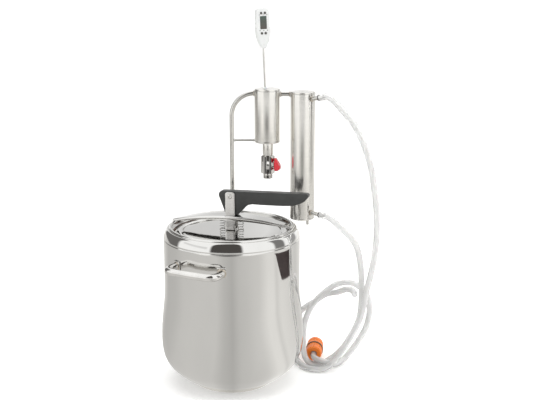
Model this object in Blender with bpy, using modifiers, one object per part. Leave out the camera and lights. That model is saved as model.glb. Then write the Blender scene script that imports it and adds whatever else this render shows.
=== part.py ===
"""A stove-top pot still: a clamped pot with a steam column, a condenser and two cooling-water hoses.

Metres, +Z up. The origin is the centre of the base's underside, on the pot's own axis, and -Y is
the front. The clamp across the lid stands in a frame of its own, turned about +Z, and so does the
thermometer, which leans a little.
"""

import math

import bmesh
import bpy
from mathutils import Matrix, Vector

GAP = 0.0003  # clearance kept between touching pieces
POT_STEPS = 40  # flat facets round the pot, its base and its lid

# Pot
BASE_R = 0.080
BASE_TOP = 0.0066
WALL_R = 0.133
WALL = 0.0012
BELLY = [(WALL_R, 0.285), (WALL_R, 0.200), (0.1337, 0.180), (0.1360, 0.158), (0.1392, 0.128),
         (0.1408, 0.100), (0.1400, 0.077), (0.1365, 0.058), (0.1285, 0.042), (0.1165, 0.029),
         (0.1000, 0.0155), (0.0820, 0.0072)]
SHOULDER_Z = 0.297
SHOULDER_R = 0.124
SHOULDER_OUT = 0.0086
SHOULDER_RISE = 0.0175
BEAD_R = 0.1193
BEAD_Z = 0.3145
BEAD = 0.0031
LIP_R = 0.114
LIP_Z = 0.3066

# Side handles
HANDLE_Z = 0.260
HANDLE_TUBE = 0.007
HANDLE_ANGLE = math.radians(-116.9)
PAD_ANGLE = math.radians(21.1)
PAD = (0.0014, 0.018, 0.022)

# Lid and clamp
LID_TOP = 0.3080
LID_SHEET = 0.0012
CLAMP_TURN = math.radians(-15)
BAR_HALF = 0.1205
BAR_TOP = 0.3385
BAR_END_TOP = 0.3224
BAR_SHEET = 0.002
YOKE_WIDTH = 0.019
YOKE_OUT = 0.011
YOKE_IN = 0.009
YOKE_TOP = 0.3845
PIN_Z = 0.376
PIN_R = 0.003
BOLT_R = 0.004
LEVER_THICK = 0.0166
CAM_LIFT_PER_DEG = 0.004 / 100
SPRING_U = 0.019
SPRING_R = 0.005
SPRING_WIRE = 0.0006
SPRING_TURNS = 5

# Column
COLUMN_Y = 0.045
PIPE_R = 0.00425
PIPE_BEND = 0.0437
PIPE_TOP = 0.5685
STEAMER_X = 0.0694
STEAMER_R = 0.025
STEAMER_Z = (0.4728, 0.5775)
CONDENSER_X = 0.1384
CONDENSER_R = 0.024
CONDENSER_Z = (0.319, 0.572)
TUBE_WALL = 0.0012
CAP_HIGH = 0.0035
LINK_Z = 0.567
LINK_R = 0.004
BRACE_Z = 0.4768
BRACE_R = 0.0019

# Valve under the steamer
VALVE_X = 0.0705
VALVE_Z = (0.4105, 0.4466)
VALVE_MID = 0.4285
VALVE_R = 0.0135
VALVE_BORE = 0.005
STEM_TURN = math.radians(-18)
STEM_R = 0.004
BALL_R = 0.0083
NECK_R = 0.0105
OUTLET_R = 0.0093
OUTLET_LOW = 0.401

# Thermometer, measured from the steamer's top along its own lean
THERMO_X = 0.0652
THERMO_LEAN = math.radians(-2.4)
THERMO_YAW = math.radians(20)
PROBE_R = 0.0016
PROBE_LOW = -0.0725
CASE_LOW = 0.0778
CASE_DEEP = 0.007
CASE_WALL = 0.0015
SCREEN = (0.0067, 0.01225)
SCREEN_Z = 0.1262
BUTTON_R = 0.0023
BUTTONS = {"button_power": (-0.0038, 0.1440), "button_hold": (0.0038, 0.1440),
           "button_max_min": (-0.0038, 0.1062), "button_units": (0.0038, 0.1062)}

# Hoses and the tap connector
NIPPLE_R = 0.004
HOSE_R = 0.006
HOSE_STEP = 0.027
HOSE_STEPS = 8
OUTLET_ROUTE = [
    (0.1768, 0.0067, 0.5658), (0.1824, 0.0012, 0.5674), (0.195, -0.006, 0.560),
    (0.216, -0.011, 0.538), (0.233, -0.012, 0.517), (0.249, -0.012, 0.487), (0.262, -0.010, 0.452),
    (0.270, -0.008, 0.424), (0.275, -0.006, 0.394), (0.281, -0.002, 0.351), (0.284, 0.003, 0.310),
    (0.281, 0.008, 0.251), (0.275, 0.010, 0.213), (0.268, 0.012, 0.181), (0.262, 0.013, 0.143),
    (0.252, 0.014, 0.109), (0.234, 0.015, 0.074), (0.217, 0.017, 0.043), (0.204, 0.018, 0.024),
    (0.190, 0.019, 0.011), (0.175, 0.018, 0.0067), (0.159, 0.022, 0.0066), (0.143, 0.038, 0.0066),
    (0.131, 0.068, 0.0066), (0.119, 0.100, 0.010), (0.1155, 0.121, 0.031), (0.121, 0.1275, 0.060),
    (0.133, 0.115, 0.089), (0.148, 0.104, 0.110), (0.167, 0.098, 0.1245), (0.189, 0.089, 0.1435),
    (0.2135, 0.060, 0.159), (0.230, 0.042, 0.1705), (0.241, 0.025, 0.173), (0.244, 0.010, 0.170)]
INLET_ROUTE = [
    (0.1803, 0.0045, 0.334), (0.1861, -0.001, 0.3339), (0.198, -0.006, 0.326),
    (0.213, -0.007, 0.312), (0.231, -0.002, 0.293), (0.244, 0.004, 0.273), (0.253, 0.014, 0.239),
    (0.258, 0.025, 0.196), (0.2595, 0.034, 0.149), (0.258, 0.038, 0.119), (0.251, 0.042, 0.092),
    (0.236, 0.046, 0.060), (0.217, 0.048, 0.033), (0.199, 0.048, 0.0175), (0.183, 0.0465, 0.009),
    (0.170, 0.0455, 0.0066), (0.160, 0.046, 0.0078), (0.1515, 0.048, 0.0135),
    (0.1462, 0.0515, 0.0235), (0.1437, 0.0555, 0.039), (0.143, 0.059, 0.057),
    (0.1442, 0.061, 0.077), (0.1475, 0.0625, 0.097), (0.155, 0.064, 0.117), (0.170, 0.066, 0.140),
    (0.190, 0.068, 0.1585), (0.215, 0.069, 0.174), (0.241, 0.069, 0.176), (0.263, 0.069, 0.164),
    (0.277, 0.069, 0.142), (0.280, 0.069, 0.112), (0.273, 0.069, 0.078), (0.258, 0.069, 0.049),
    (0.242, 0.069, 0.025), (0.2295, 0.064, 0.0115), (0.2185, 0.055, 0.0066), (0.210, 0.045, 0.007),
    (0.201, 0.037, 0.011), (0.191, 0.0325, 0.016), (0.181, 0.0336, 0.019), (0.1727, 0.0387, 0.020),
    (0.1673, 0.047, 0.0196), (0.1654, 0.0575, 0.0189), (0.1655, 0.070, 0.0186),
    (0.1667, 0.0805, 0.0186)]
CONNECTOR_FACE = Vector((0.1655, 0.070, 0.0186))
CONNECTOR_AXIS = Vector((0.11, 0.994, 0.0)).normalized()

STEEL = ((0.72, 0.71, 0.69), 0.25, 1.0)
MIRROR = ((0.80, 0.79, 0.78), 0.08, 1.0)
BRUSHED = ((0.62, 0.60, 0.57), 0.35, 1.0)
ALUMINIUM = ((0.75, 0.75, 0.76), 0.4, 1.0)
BLACK = ((0.035, 0.036, 0.035), 0.45, 0.0)
RED = ((0.62, 0.02, 0.04), 0.35, 0.0)
ORANGE = ((0.85, 0.24, 0.02), 0.4, 0.0)
DARK = ((0.06, 0.05, 0.04), 0.6, 0.0)
WHITE = ((0.86, 0.87, 0.86), 0.4, 0.0)
GREEN = ((0.05, 0.075, 0.06), 0.2, 0.0)
BROWN = ((0.20, 0.11, 0.08), 0.6, 0.0)
CLEAR = ((0.88, 0.88, 0.87), 0.2, 0.0)


def clear_scene():
    for obj in list(bpy.data.objects):
        bpy.data.objects.remove(obj, do_unlink=True)


def new_collection(name):
    collection = bpy.data.collections.new(name)
    bpy.context.scene.collection.children.link(collection)
    return collection


def finish(obj, look):
    """A material of the object's own from (colour, roughness, metallic)."""
    colour, roughness, metallic = look
    material = bpy.data.materials.new(obj.name)
    material.use_nodes = True
    shader = material.node_tree.nodes["Principled BSDF"]
    shader.inputs["Base Color"].default_value = (*colour, 1)
    shader.inputs["Roughness"].default_value = roughness
    shader.inputs["Metallic"].default_value = metallic
    obj.data.materials.append(material)


def add(name, data, look, parent=None, matrix=None):
    obj = bpy.data.objects.new(name, data)
    PARTS.objects.link(obj)
    obj.parent = parent
    if matrix is not None:
        obj.matrix_local = matrix
    finish(obj, look)
    return obj


def empty(name, matrix):
    obj = bpy.data.objects.new(name, None)
    PARTS.objects.link(obj)
    obj.matrix_world = matrix
    return obj


def along(point, direction):
    """A matrix whose +Z runs along the direction, from the point."""
    turn = Vector(direction).to_track_quat("Z", "Y")
    return Matrix.Translation(point) @ turn.to_matrix().to_4x4()


def at(x, y, z):
    return Matrix.Translation((x, y, z))


def mesh_from(name, bm, smooth=True):
    mesh = bpy.data.meshes.new(name)
    bm.to_mesh(mesh)
    bm.free()
    if smooth:
        mesh.shade_smooth()
        mesh.set_sharp_from_angle(angle=math.radians(35))
    return mesh


def bevel(obj, width, segments=2):
    modifier = obj.modifiers.new("edges", "BEVEL")
    modifier.width = width
    modifier.segments = segments
    modifier.limit_method = "ANGLE"
    modifier.angle_limit = math.radians(40)


def cylinder(name, radius, low, high, look, parent=None, matrix=None, segments=24):
    """A cylinder, or a prism with few segments, between two heights on its own Z axis."""
    bm = bmesh.new()
    bmesh.ops.create_cone(
        bm, cap_ends=True, segments=segments, radius1=radius, radius2=radius, depth=high - low,
        matrix=at(0, 0, (low + high) / 2))
    return add(name, mesh_from(name, bm), look, parent, matrix)


def hexagon(name, flats, low, high, look, matrix):
    return cylinder(name, flats / math.sqrt(3), low, high, look, matrix=matrix, segments=6)


def box(name, size, look, parent=None, matrix=None):
    bm = bmesh.new()
    bmesh.ops.create_cube(bm, size=1, matrix=Matrix.Diagonal((*size, 1)))
    return add(name, mesh_from(name, bm, smooth=False), look, parent, matrix)


def turned(name, profile, look, parent=None, matrix=None, steps=32, closed=False):
    """A profile of (radius, height), running down its outer side, turned about Z."""
    mesh = bpy.data.meshes.new(name)
    count = len(profile)
    edges = [(i, i + 1) for i in range(count - 1)]
    if closed:
        edges.append((count - 1, 0))
    mesh.from_pydata([(r, 0, z) for r, z in profile], edges, [])
    obj = add(name, mesh, look, parent, matrix)
    screw = obj.modifiers.new("turn", "SCREW")
    screw.steps = steps
    screw.render_steps = steps
    screw.use_merge_vertices = True
    screw.merge_threshold = 0.00001
    screw.use_smooth_shade = True
    return obj


def ring(name, inner, outer, low, high, look, parent=None, matrix=None, steps=32):
    profile = [(outer, high), (outer, low), (inner, low), (inner, high)]
    return turned(name, profile, look, parent, matrix, steps, closed=True)


def tube(name, points, radius, look, parent=None, resolution=4):
    """A round bar or pipe along the points."""
    curve = bpy.data.curves.new(name, "CURVE")
    curve.dimensions = "3D"
    curve.bevel_depth = radius
    curve.bevel_resolution = resolution
    curve.use_fill_caps = True
    line = curve.splines.new("POLY")
    line.points.add(len(points) - 1)
    for spot, point in zip(line.points, points):
        spot.co = (*point, 1)
    return add(name, curve, look, parent)


def as_mesh(obj):
    """The same object as a mesh with its caps welded, for Booleans and bevels."""
    bpy.context.view_layer.update()
    source = obj.evaluated_get(bpy.context.evaluated_depsgraph_get())
    mesh = bpy.data.meshes.new_from_object(source)
    name, parent, place = obj.name, obj.parent, obj.matrix_local.copy()
    bm = bmesh.new()
    bm.from_mesh(mesh)
    bmesh.ops.remove_doubles(bm, verts=bm.verts, dist=0.00001)
    bmesh.ops.recalc_face_normals(bm, faces=bm.faces)
    bm.to_mesh(mesh)
    bm.free()
    bpy.data.objects.remove(obj, do_unlink=True)
    new = bpy.data.objects.new(name, mesh)
    PARTS.objects.link(new)
    new.parent = parent
    new.matrix_local = place
    return new


def plate(name, outline, thickness, look, parent=None, matrix=None):
    """A flat outline in X and Y, thickened equally to both sides of its plane."""
    curve = bpy.data.curves.new(name, "CURVE")
    curve.dimensions = "2D"
    curve.fill_mode = "BOTH"
    curve.extrude = thickness / 2
    line = curve.splines.new("POLY")
    line.points.add(len(outline) - 1)
    line.use_cyclic_u = True
    for spot, point in zip(line.points, outline):
        spot.co = (*point, 0, 1)
    return as_mesh(add(name, curve, look, parent, matrix))


def cutter(obj):
    PARTS.objects.unlink(obj)
    CUTTERS.objects.link(obj)
    obj.hide_render = True
    obj.display_type = "WIRE"
    return obj


def combine(target, other, operation="DIFFERENCE"):
    modifier = target.modifiers.new(other.name, "BOOLEAN")
    modifier.operation = operation
    modifier.object = other


def drill(target, radius, low, high, matrix=None, parent=None, segments=24):
    name = f"cut_{target.name}_{len(CUTTERS.objects)}"
    tool = cylinder(name, radius, low, high, DARK, parent, matrix, segments)
    combine(target, cutter(tool))


def cut_box(target, size, matrix, parent=None):
    tool = box(f"cut_{target.name}_{len(CUTTERS.objects)}", size, DARK, parent, matrix)
    combine(target, cutter(tool))


def arc(centre, radii, start, end, count):
    """Points on an ellipse's arc between two angles in degrees."""
    angles = [math.radians(start + (end - start) * i / (count - 1)) for i in range(count)]
    return [(centre[0] + radii[0] * math.cos(a), centre[1] + radii[1] * math.sin(a)) for a in angles]


def smooth_curve(points, steps):
    """Centripetal Catmull-Rom points through the given ones, with steps to each span."""
    knots = [Vector(p) for p in points]
    knots = [2 * knots[0] - knots[1], *knots, 2 * knots[-1] - knots[-2]]
    found = []
    for p0, p1, p2, p3 in zip(knots, knots[1:], knots[2:], knots[3:]):
        t1 = (p1 - p0).length ** 0.5
        t2 = t1 + (p2 - p1).length ** 0.5
        t3 = t2 + (p3 - p2).length ** 0.5
        for i in range(steps):
            t = t1 + (t2 - t1) * i / steps
            a1 = p0 + (p1 - p0) * (t / t1)
            a2 = p1 + (p2 - p1) * ((t - t1) / (t2 - t1))
            a3 = p2 + (p3 - p2) * ((t - t2) / (t3 - t2))
            b1 = a1 + (a2 - a1) * (t / t2)
            b2 = a2 + (a3 - a2) * ((t - t1) / (t3 - t1))
            found.append(b1 + (b2 - b1) * ((t - t1) / (t2 - t1)))
    found.append(knots[-2])
    return found


def evenly(points, spacing):
    """Points a set distance apart along a line, its two ends kept."""
    lengths = [0.0]
    for a, b in zip(points, points[1:]):
        lengths.append(lengths[-1] + (b - a).length)
    count = max(2, round(lengths[-1] / spacing) + 1)
    found = []
    span = 0
    for i in range(count):
        want = lengths[-1] * i / (count - 1)
        while span < len(points) - 2 and lengths[span + 1] < want:
            span += 1
        part = (want - lengths[span]) / (lengths[span + 1] - lengths[span])
        found.append(points[span].lerp(points[span + 1], part))
    return found


def inset(profile, distance):
    """The profile moved sideways, toward the inside of a shape that it runs down."""
    found = []
    for i, point in enumerate(profile):
        before = Vector(profile[max(i - 1, 0)])
        after = Vector(profile[min(i + 1, len(profile) - 1)])
        way = (after - before).normalized()
        found.append((point[0] + way.y * distance, point[1] - way.x * distance))
    return found


def pot():
    shoulder = arc((SHOULDER_R, SHOULDER_Z), (SHOULDER_OUT, SHOULDER_RISE), 90, 0, 5)
    crease = [(SHOULDER_R + SHOULDER_OUT - 0.0009, SHOULDER_Z - 0.0016)]
    outer = shoulder + crease + BELLY
    inner = inset(outer, WALL)[::-1]
    bead = arc((BEAD_R, BEAD_Z), (BEAD, BEAD), 200, -20, 6)
    lip = [(0.1205, 0.3100), (LIP_R + 0.004, LIP_Z), (LIP_R, LIP_Z), (LIP_R, LIP_Z + WALL)]
    floor = BASE_TOP + WALL
    profile = [(0, floor), (BASE_R - 0.001, floor), *inner, *lip, *bead, *outer]
    profile += [(BASE_R, BASE_TOP), (0, BASE_TOP)]
    turned("pot_shell", profile, MIRROR, steps=POT_STEPS)
    low = 0.0013
    cup_high = BASE_TOP - GAP
    cup = [(0, low), (BASE_R - 0.0011, low), (BASE_R - 0.0011, cup_high), (BASE_R, cup_high),
           (BASE_R, 0.001), (BASE_R - 0.001, 0), (0, 0)]
    turned("base_cap", cup, MIRROR, steps=POT_STEPS)
    cylinder("base_core", BASE_R - 0.0011 - GAP, low + GAP, cup_high - GAP, ALUMINIUM, segments=POT_STEPS)


def side_handle(side, turn):
    """A tube handle and the two pads that hold it, around the pot at the given angle."""
    start = WALL_R + GAP + 0.0005 + PAD[0] + GAP
    half = [(r * math.cos(PAD_ANGLE), r * math.sin(PAD_ANGLE)) for r in (start + 0.0005, start + 0.007)]
    half += [(0.1460, 0.0515), (0.1550, 0.0478), (0.1592, 0.0390), (0.1605, 0.0200)]
    outline = half + [(0.1612, 0)] + [(x, -y) for x, y in reversed(half)]
    frame = empty(f"handle_frame_{side}", Matrix.Rotation(turn, 4, "Z") @ at(0, 0, HANDLE_Z))
    path = [(p.x, p.y, 0) for p in smooth_curve(outline, 2)]
    tube(f"handle_{side}", path, HANDLE_TUBE, STEEL, frame)
    for place, sign in (("front", 1), ("back", -1)):
        spot = Matrix.Rotation(sign * PAD_ANGLE, 4, "Z") @ at(start - GAP - PAD[0] / 2, 0, 0)
        pad = box(f"handle_{side}_pad_{place}", PAD, STEEL, frame, spot)
        bevel(pad, 0.0004, 1)


def lid():
    flange = LIP_Z - 0.0032
    riser = 0.1113
    top = [(0, LID_TOP), (0.060, LID_TOP - 0.0001), (0.100, LID_TOP - 0.0006),
           (0.1085, LID_TOP - 0.0011), (0.1106, LID_TOP - 0.0022), (riser, LID_TOP - 0.0036),
           (riser, flange), (0.1178, flange)]
    under = [(0.1178, flange - LID_SHEET), (riser - LID_SHEET, flange - LID_SHEET),
             (riser - LID_SHEET, LID_TOP - 0.0040), (0.1080, LID_TOP - LID_SHEET - 0.0011),
             (0.100, LID_TOP - LID_SHEET - 0.0006), (0, LID_TOP - LID_SHEET)]
    cover = turned("lid", top + under, MIRROR, steps=POT_STEPS)
    drill(cover, BOLT_R + GAP, 0.29, 0.32)
    drill(cover, 0.0071, 0.29, 0.32, at(0, COLUMN_Y, 0))
    ring("lid_gasket", riser + GAP, 0.1176, flange + GAP, LIP_Z - GAP, BROWN, steps=POT_STEPS)


def bar_section(u):
    """The crossbar's outer section at u: half of the width, the top's height and the flange's depth."""
    share = 1 - (u / BAR_HALF) ** 2
    return 0.007 + 0.013 * share, BAR_END_TOP + (BAR_TOP - BAR_END_TOP) * share, 0.0042 + 0.0038 * share


def crossbar(frame):
    """A pressed channel, arched and tapering to its ends: a loft of its unlike sections."""
    rows, corner = 17, 0.003
    bm = bmesh.new()
    lines = []
    for i in range(rows):
        u = BAR_HALF * (2 * i / (rows - 1) - 1)
        half, top, deep = bar_section(u)
        side = [(half, top - deep), *arc((half - corner, top - corner), (corner, corner), 0, 90, 3)]
        section = side + [(-v, z) for v, z in reversed(side)]
        lines.append([bm.verts.new((u, v, z)) for v, z in section])
    for a, b in zip(lines, lines[1:]):
        for i in range(len(a) - 1):
            bm.faces.new((a[i], a[i + 1], b[i + 1], b[i]))
    bar = add("crossbar", mesh_from("crossbar", bm), MIRROR, frame)
    sheet = bar.modifiers.new("sheet", "SOLIDIFY")
    sheet.thickness = BAR_SHEET
    sheet.offset = -1
    slot = (YOKE_WIDTH + 0.002, YOKE_OUT - YOKE_IN + 0.0014, 0.03)
    for sign in (1, -1):
        cut_box(bar, slot, at(0, sign * (YOKE_OUT + YOKE_IN) / 2, BAR_TOP), frame)


def yoke(frame):
    """A U-shaped strap standing on the lid, its two ears round the lever's head."""
    low = LID_TOP + GAP
    half = YOKE_WIDTH / 2
    corner = 0.005
    outline = [(-half, low), (half, low), (half - 0.0005, YOKE_TOP - corner)]
    outline += arc((half - corner, YOKE_TOP - corner), (corner, corner), 20, 90, 4)
    outline += [(-x, z) for x, z in reversed(outline[3:])] + [(0.0005 - half, YOKE_TOP - corner)]
    upright = Matrix.Rotation(math.radians(90), 4, "X")
    strap = plate("yoke", outline, 2 * YOKE_OUT, STEEL, frame, upright)
    tall = YOKE_TOP - low
    cut_box(strap, (0.04, 2 * YOKE_IN, tall), at(0, 0, low + 0.002 + tall / 2), frame)
    drill(strap, PIN_R + GAP, -0.02, 0.02, along((0, 0, PIN_Z), (0, 1, 0)), frame)
    drill(strap, BOLT_R + GAP, -0.01, 0.01, at(0, 0, low), frame)
    head = low + 0.002 + GAP
    bolt = hexagon("yoke_bolt", 0.013, head, head + 0.004, STEEL, None)
    shank = cylinder("cut_shank", BOLT_R, 0.2965, head + 0.001, STEEL)
    combine(bolt, cutter(shank), "UNION")
    nut = hexagon("yoke_nut", 0.013, 0.2998, LID_TOP - LID_SHEET - GAP, STEEL, None)
    drill(nut, BOLT_R + GAP, 0.29, 0.31)


def pivot_pin(frame):
    head = YOKE_OUT + GAP
    half = [(0, head + 0.0019), (0.0030, head + 0.0016), (0.0045, head + 0.0006),
            (0.0045, head), (PIN_R, head)]
    profile = half + [(r, -z) for r, z in reversed(half)]
    turned("pivot_pin", profile, STEEL, frame, along((0, 0, PIN_Z), (0, 1, 0)), steps=20)


def lever(frame):
    """The cam lever: its cam stands on the crossbar, and falls away as the grip is lifted."""
    cam = PIN_Z - BAR_TOP - GAP
    outline = []
    for degrees in (16, 8, 0):
        radius = cam - degrees * CAM_LIFT_PER_DEG
        angle = math.radians(-90 - degrees)
        outline.append((radius * math.cos(angle), radius * math.sin(angle)))
    outline += [(0.0125, 0.0005 - cam), (0.0165, -0.0345), (0.0290, -0.0210), (0.0355, -0.0155),
                (0.0440, -0.0133), (0.0800, -0.0133), (0.1180, -0.0126), (0.1360, -0.0090),
                (0.1470, -0.0020), (0.1530, 0.0055), (0.1545, 0.0100), (0.1515, 0.0124),
                (0.1400, 0.0125), (0.0600, 0.0108), (-0.0165, 0.0100), (-0.0205, 0.0086),
                (-0.0232, 0.0050), (-0.0236, 0.0005)]
    place = Matrix.Translation((0, 0, PIN_Z)) @ Matrix.Rotation(math.radians(90), 4, "X")
    grip = plate("clamp_lever", outline, LEVER_THICK, BLACK, frame, place)
    bevel(grip, 0.0012)
    drill(grip, PIN_R + GAP, -0.02, 0.02, along((0, 0, PIN_Z), (0, 1, 0)), frame)


def springs(frame):
    """Two small coil springs that push the crossbar up off the lid."""
    low = LID_TOP + GAP + SPRING_WIRE
    high = bar_section(SPRING_U)[1] - BAR_SHEET - 2 * GAP - SPRING_WIRE
    per_turn = 8
    count = SPRING_TURNS * per_turn
    for side, sign in (("left", -1), ("right", 1)):
        points = []
        for i in range(count + 1):
            angle = 2 * math.pi * i / per_turn
            height = low + (high - low) * i / count
            points.append((sign * SPRING_U + SPRING_R * math.cos(angle), SPRING_R * math.sin(angle), height))
        tube(f"lift_spring_{side}", points, SPRING_WIRE, STEEL, frame, resolution=2)


def vapour_joint():
    """The screwed joint in the lid that the column stands on."""
    place = at(0, COLUMN_Y, 0)
    seat = LID_TOP + 0.0002
    ring("spigot_washer", 0.0074, 0.0115, seat, seat + 0.0015, WHITE, matrix=place, steps=24)
    flange = seat + 0.0015 + GAP
    stem = 0.0068
    profile = [(stem, 0.3240), (stem, flange + 0.0025), (0.011, flange + 0.0025), (0.011, flange),
               (stem, flange), (stem, 0.2960), (0.0019, 0.2960), (0.0019, 0.3240)]
    turned("spigot", profile, STEEL, matrix=place, steps=24, closed=True)
    under = hexagon("spigot_nut", 0.020, 0.3000, LID_TOP - LID_SHEET - 2 * GAP, STEEL, place)
    drill(under, stem + GAP, 0.29, 0.31, place)
    union = hexagon("union_nut", 0.022, flange + 0.0031, 0.3310, STEEL, place)
    drill(union, stem + GAP, 0.30, 0.3275, place)
    drill(union, PIPE_R + GAP, 0.32, 0.34, place)


def vapour_pipe():
    bend = arc((PIPE_BEND, PIPE_TOP - PIPE_BEND), (PIPE_BEND, PIPE_BEND), 180, 90, 9)
    end = STEAMER_X - STEAMER_R - GAP
    path = [(0, COLUMN_Y, 0.3244), *((x, COLUMN_Y, z) for x, z in bend), (end, COLUMN_Y, PIPE_TOP)]
    tube("vapour_pipe", path, PIPE_R, BRUSHED)
    brace = [(PIPE_R + GAP, COLUMN_Y, BRACE_Z), (end, COLUMN_Y, BRACE_Z)]
    tube("brace_rod", brace, BRACE_R, BRUSHED, resolution=2)


def capped_tube(name, x, radius, heights):
    """A jacket of sheet tube with a round-edged cap in each end."""
    place = at(x, COLUMN_Y, 0)
    low, high = heights
    ring(f"{name}_jacket", radius - TUBE_WALL, radius, low + CAP_HIGH + GAP,
         high - CAP_HIGH - GAP, BRUSHED, matrix=place, steps=32)
    edge = 0.0022
    dome = [(0, CAP_HIGH), *arc((radius - edge, CAP_HIGH - edge), (edge, edge), 90, 0, 3),
            (radius, 0), (0, 0)]
    top = turned(f"{name}_cap_top", dome, BRUSHED, matrix=at(x, COLUMN_Y, high - CAP_HIGH))
    flip = Matrix.Rotation(math.pi, 4, "X")
    bottom = turned(f"{name}_cap_bottom", dome, BRUSHED, matrix=at(x, COLUMN_Y, low + CAP_HIGH) @ flip)
    return top, bottom


def column():
    top, bottom = capped_tube("steamer", STEAMER_X, STEAMER_R, STEAMER_Z)
    capped_tube("condenser", CONDENSER_X, CONDENSER_R, CONDENSER_Z)
    lean = Matrix.Translation((THERMO_X, COLUMN_Y, STEAMER_Z[1])) @ Matrix.Rotation(THERMO_LEAN, 4, "Y")
    drill(top, 0.0030, -0.02, 0.02, lean, segments=16)
    drill(bottom, VALVE_BORE, -0.01, 0.01, at(VALVE_X, COLUMN_Y, STEAMER_Z[0]), segments=16)
    bung = [(0.0042, 0.0020), (0.0042, GAP), (0.0026, GAP), (0.0026, -0.0030), (PROBE_R + GAP, -0.0030),
            (PROBE_R + GAP, 0.0020)]
    turned("probe_bung", bung, WHITE, matrix=lean, steps=16, closed=True)
    left = STEAMER_X + STEAMER_R + GAP
    right = CONDENSER_X - CONDENSER_R - GAP
    tube("link_pipe", [(left, COLUMN_Y, LINK_Z), (right, COLUMN_Y, LINK_Z)], LINK_R, BRUSHED)
    ring("drain_neck", VALVE_BORE, NECK_R, VALVE_Z[1] + GAP, STEAMER_Z[0] - GAP, BRUSHED,
         matrix=at(VALVE_X, COLUMN_Y, 0), steps=24)
    front = (0.149, 0.035)
    ring("product_outlet", 0.0018, 0.00275, 0.3085, CONDENSER_Z[0] - GAP, BRUSHED,
         matrix=at(*front, 0), steps=16)


def condenser_coil():
    """The coiled tube inside the condenser's water jacket."""
    low, high, turns, per_turn, radius = 0.332, 0.556, 8, 8, 0.0155
    count = turns * per_turn
    points = []
    for i in range(count + 1):
        angle = 2 * math.pi * i / per_turn
        height = low + (high - low) * i / count
        points.append((CONDENSER_X + radius * math.cos(angle), COLUMN_Y + radius * math.sin(angle), height))
    tube("condenser_coil", points, 0.003, BRUSHED, resolution=2)


def water_nipples():
    """The two spigots that the hoses are pushed onto, out of the condenser's front right side."""
    out = Vector((1, -1, 0)).normalized()
    axis = Vector((CONDENSER_X, COLUMN_Y, 0))
    nipples = (("nipple_outlet", 0.560, OUTLET_ROUTE), ("nipple_inlet", 0.3345, INLET_ROUTE))
    for name, height, route in nipples:
        start = axis + out * (CONDENSER_R + 0.0008) + Vector((0, 0, height))
        end = Vector(route[0])
        length = (end - start).length - GAP
        tube(name, [start, start + (end - start).normalized() * length], NIPPLE_R, STEEL)


def valve():
    """A small ball valve. The handle lies along the bore, so the valve is open at rest."""
    place = at(VALVE_X, COLUMN_Y, 0)
    middle = (VALVE_X, COLUMN_Y, VALVE_MID)
    out = Vector((math.cos(STEM_TURN), math.sin(STEM_TURN), 0))
    across = along(middle, out)
    spin = place @ Matrix.Rotation(math.radians(30), 4, "Z")
    body = cylinder("valve_body", VALVE_R, *VALVE_Z, STEEL, matrix=spin, segments=6)
    boss = cylinder("cut_boss", 0.007, 0, 0.0137, STEEL, matrix=across)
    combine(body, cutter(boss), "UNION")
    drill(body, VALVE_BORE, 0.40, 0.46, place)
    drill(body, STEM_R + GAP, 0, 0.02, across)
    bm = bmesh.new()
    bmesh.ops.create_uvsphere(bm, u_segments=20, v_segments=12, radius=BALL_R + GAP)
    chamber = add("cut_chamber", mesh_from("cut_chamber", bm), STEEL, matrix=Matrix.Translation(middle))
    combine(body, cutter(chamber))
    bm = bmesh.new()
    bmesh.ops.create_uvsphere(bm, u_segments=20, v_segments=12, radius=BALL_R)
    ball = add("valve_ball", mesh_from("valve_ball", bm), MIRROR, matrix=Matrix.Translation(middle))
    drill(ball, VALVE_BORE - 0.0006, 0.40, 0.46, place)
    cylinder("valve_stem", STEM_R, BALL_R + GAP, 0.0212, STEEL, matrix=across, segments=20)
    ring("valve_outlet", VALVE_BORE, OUTLET_R, OUTLET_LOW, VALVE_Z[0] - GAP, STEEL, matrix=place, steps=24)
    outline = [(0.0140, 0.0135), (0.0140, -0.0105), (0.0165, -0.0120), (0.0215, -0.0115),
               (0.0250, -0.0090), (0.0262, -0.0045), (0.0250, -0.0005), (0.0190, 0.0100), (0.0160, 0.0140)]
    upright = Matrix.Rotation(STEM_TURN, 4, "Z") @ Matrix.Rotation(math.radians(90), 4, "X")
    handle = plate("valve_handle", outline, 0.012, RED, matrix=Matrix.Translation(middle) @ upright)
    bevel(handle, 0.0012)
    drill(handle, STEM_R + GAP, 0.010, 0.0215, across)


def case_outline(shrink):
    """The thermometer's drop-shaped case, seen from the front, made smaller by shrink all round."""
    half = [(0.0030, CASE_LOW), (0.0052, 0.0805), (0.0095, 0.0895), (0.0122, 0.0985), (0.0135, 0.1080),
            (0.0135, 0.1450), (0.0122, 0.1500), (0.0085, 0.1530), (0.0040, 0.1540)]
    moved = inset(half[::-1], shrink)[::-1]
    return moved + [(-x, z) for x, z in reversed(moved)]


def case_half(name, sign, frame):
    """One hollow half of the case, open at the parting plane."""
    upright = Matrix.Rotation(math.radians(90), 4, "X")
    deep = CASE_DEEP - GAP / 2
    outer = at(0, sign * (deep / 2 + GAP / 2), 0) @ upright
    shell = plate(name, case_outline(0), deep, WHITE, frame, outer)
    bevel(shell, 0.0011, 1)
    inner = at(0, sign * (deep / 2 + GAP / 2 - CASE_WALL), 0) @ upright
    hollow = plate(f"cut_{name}", case_outline(CASE_WALL), deep, WHITE, frame, inner)
    combine(shell, cutter(hollow))
    return shell


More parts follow.
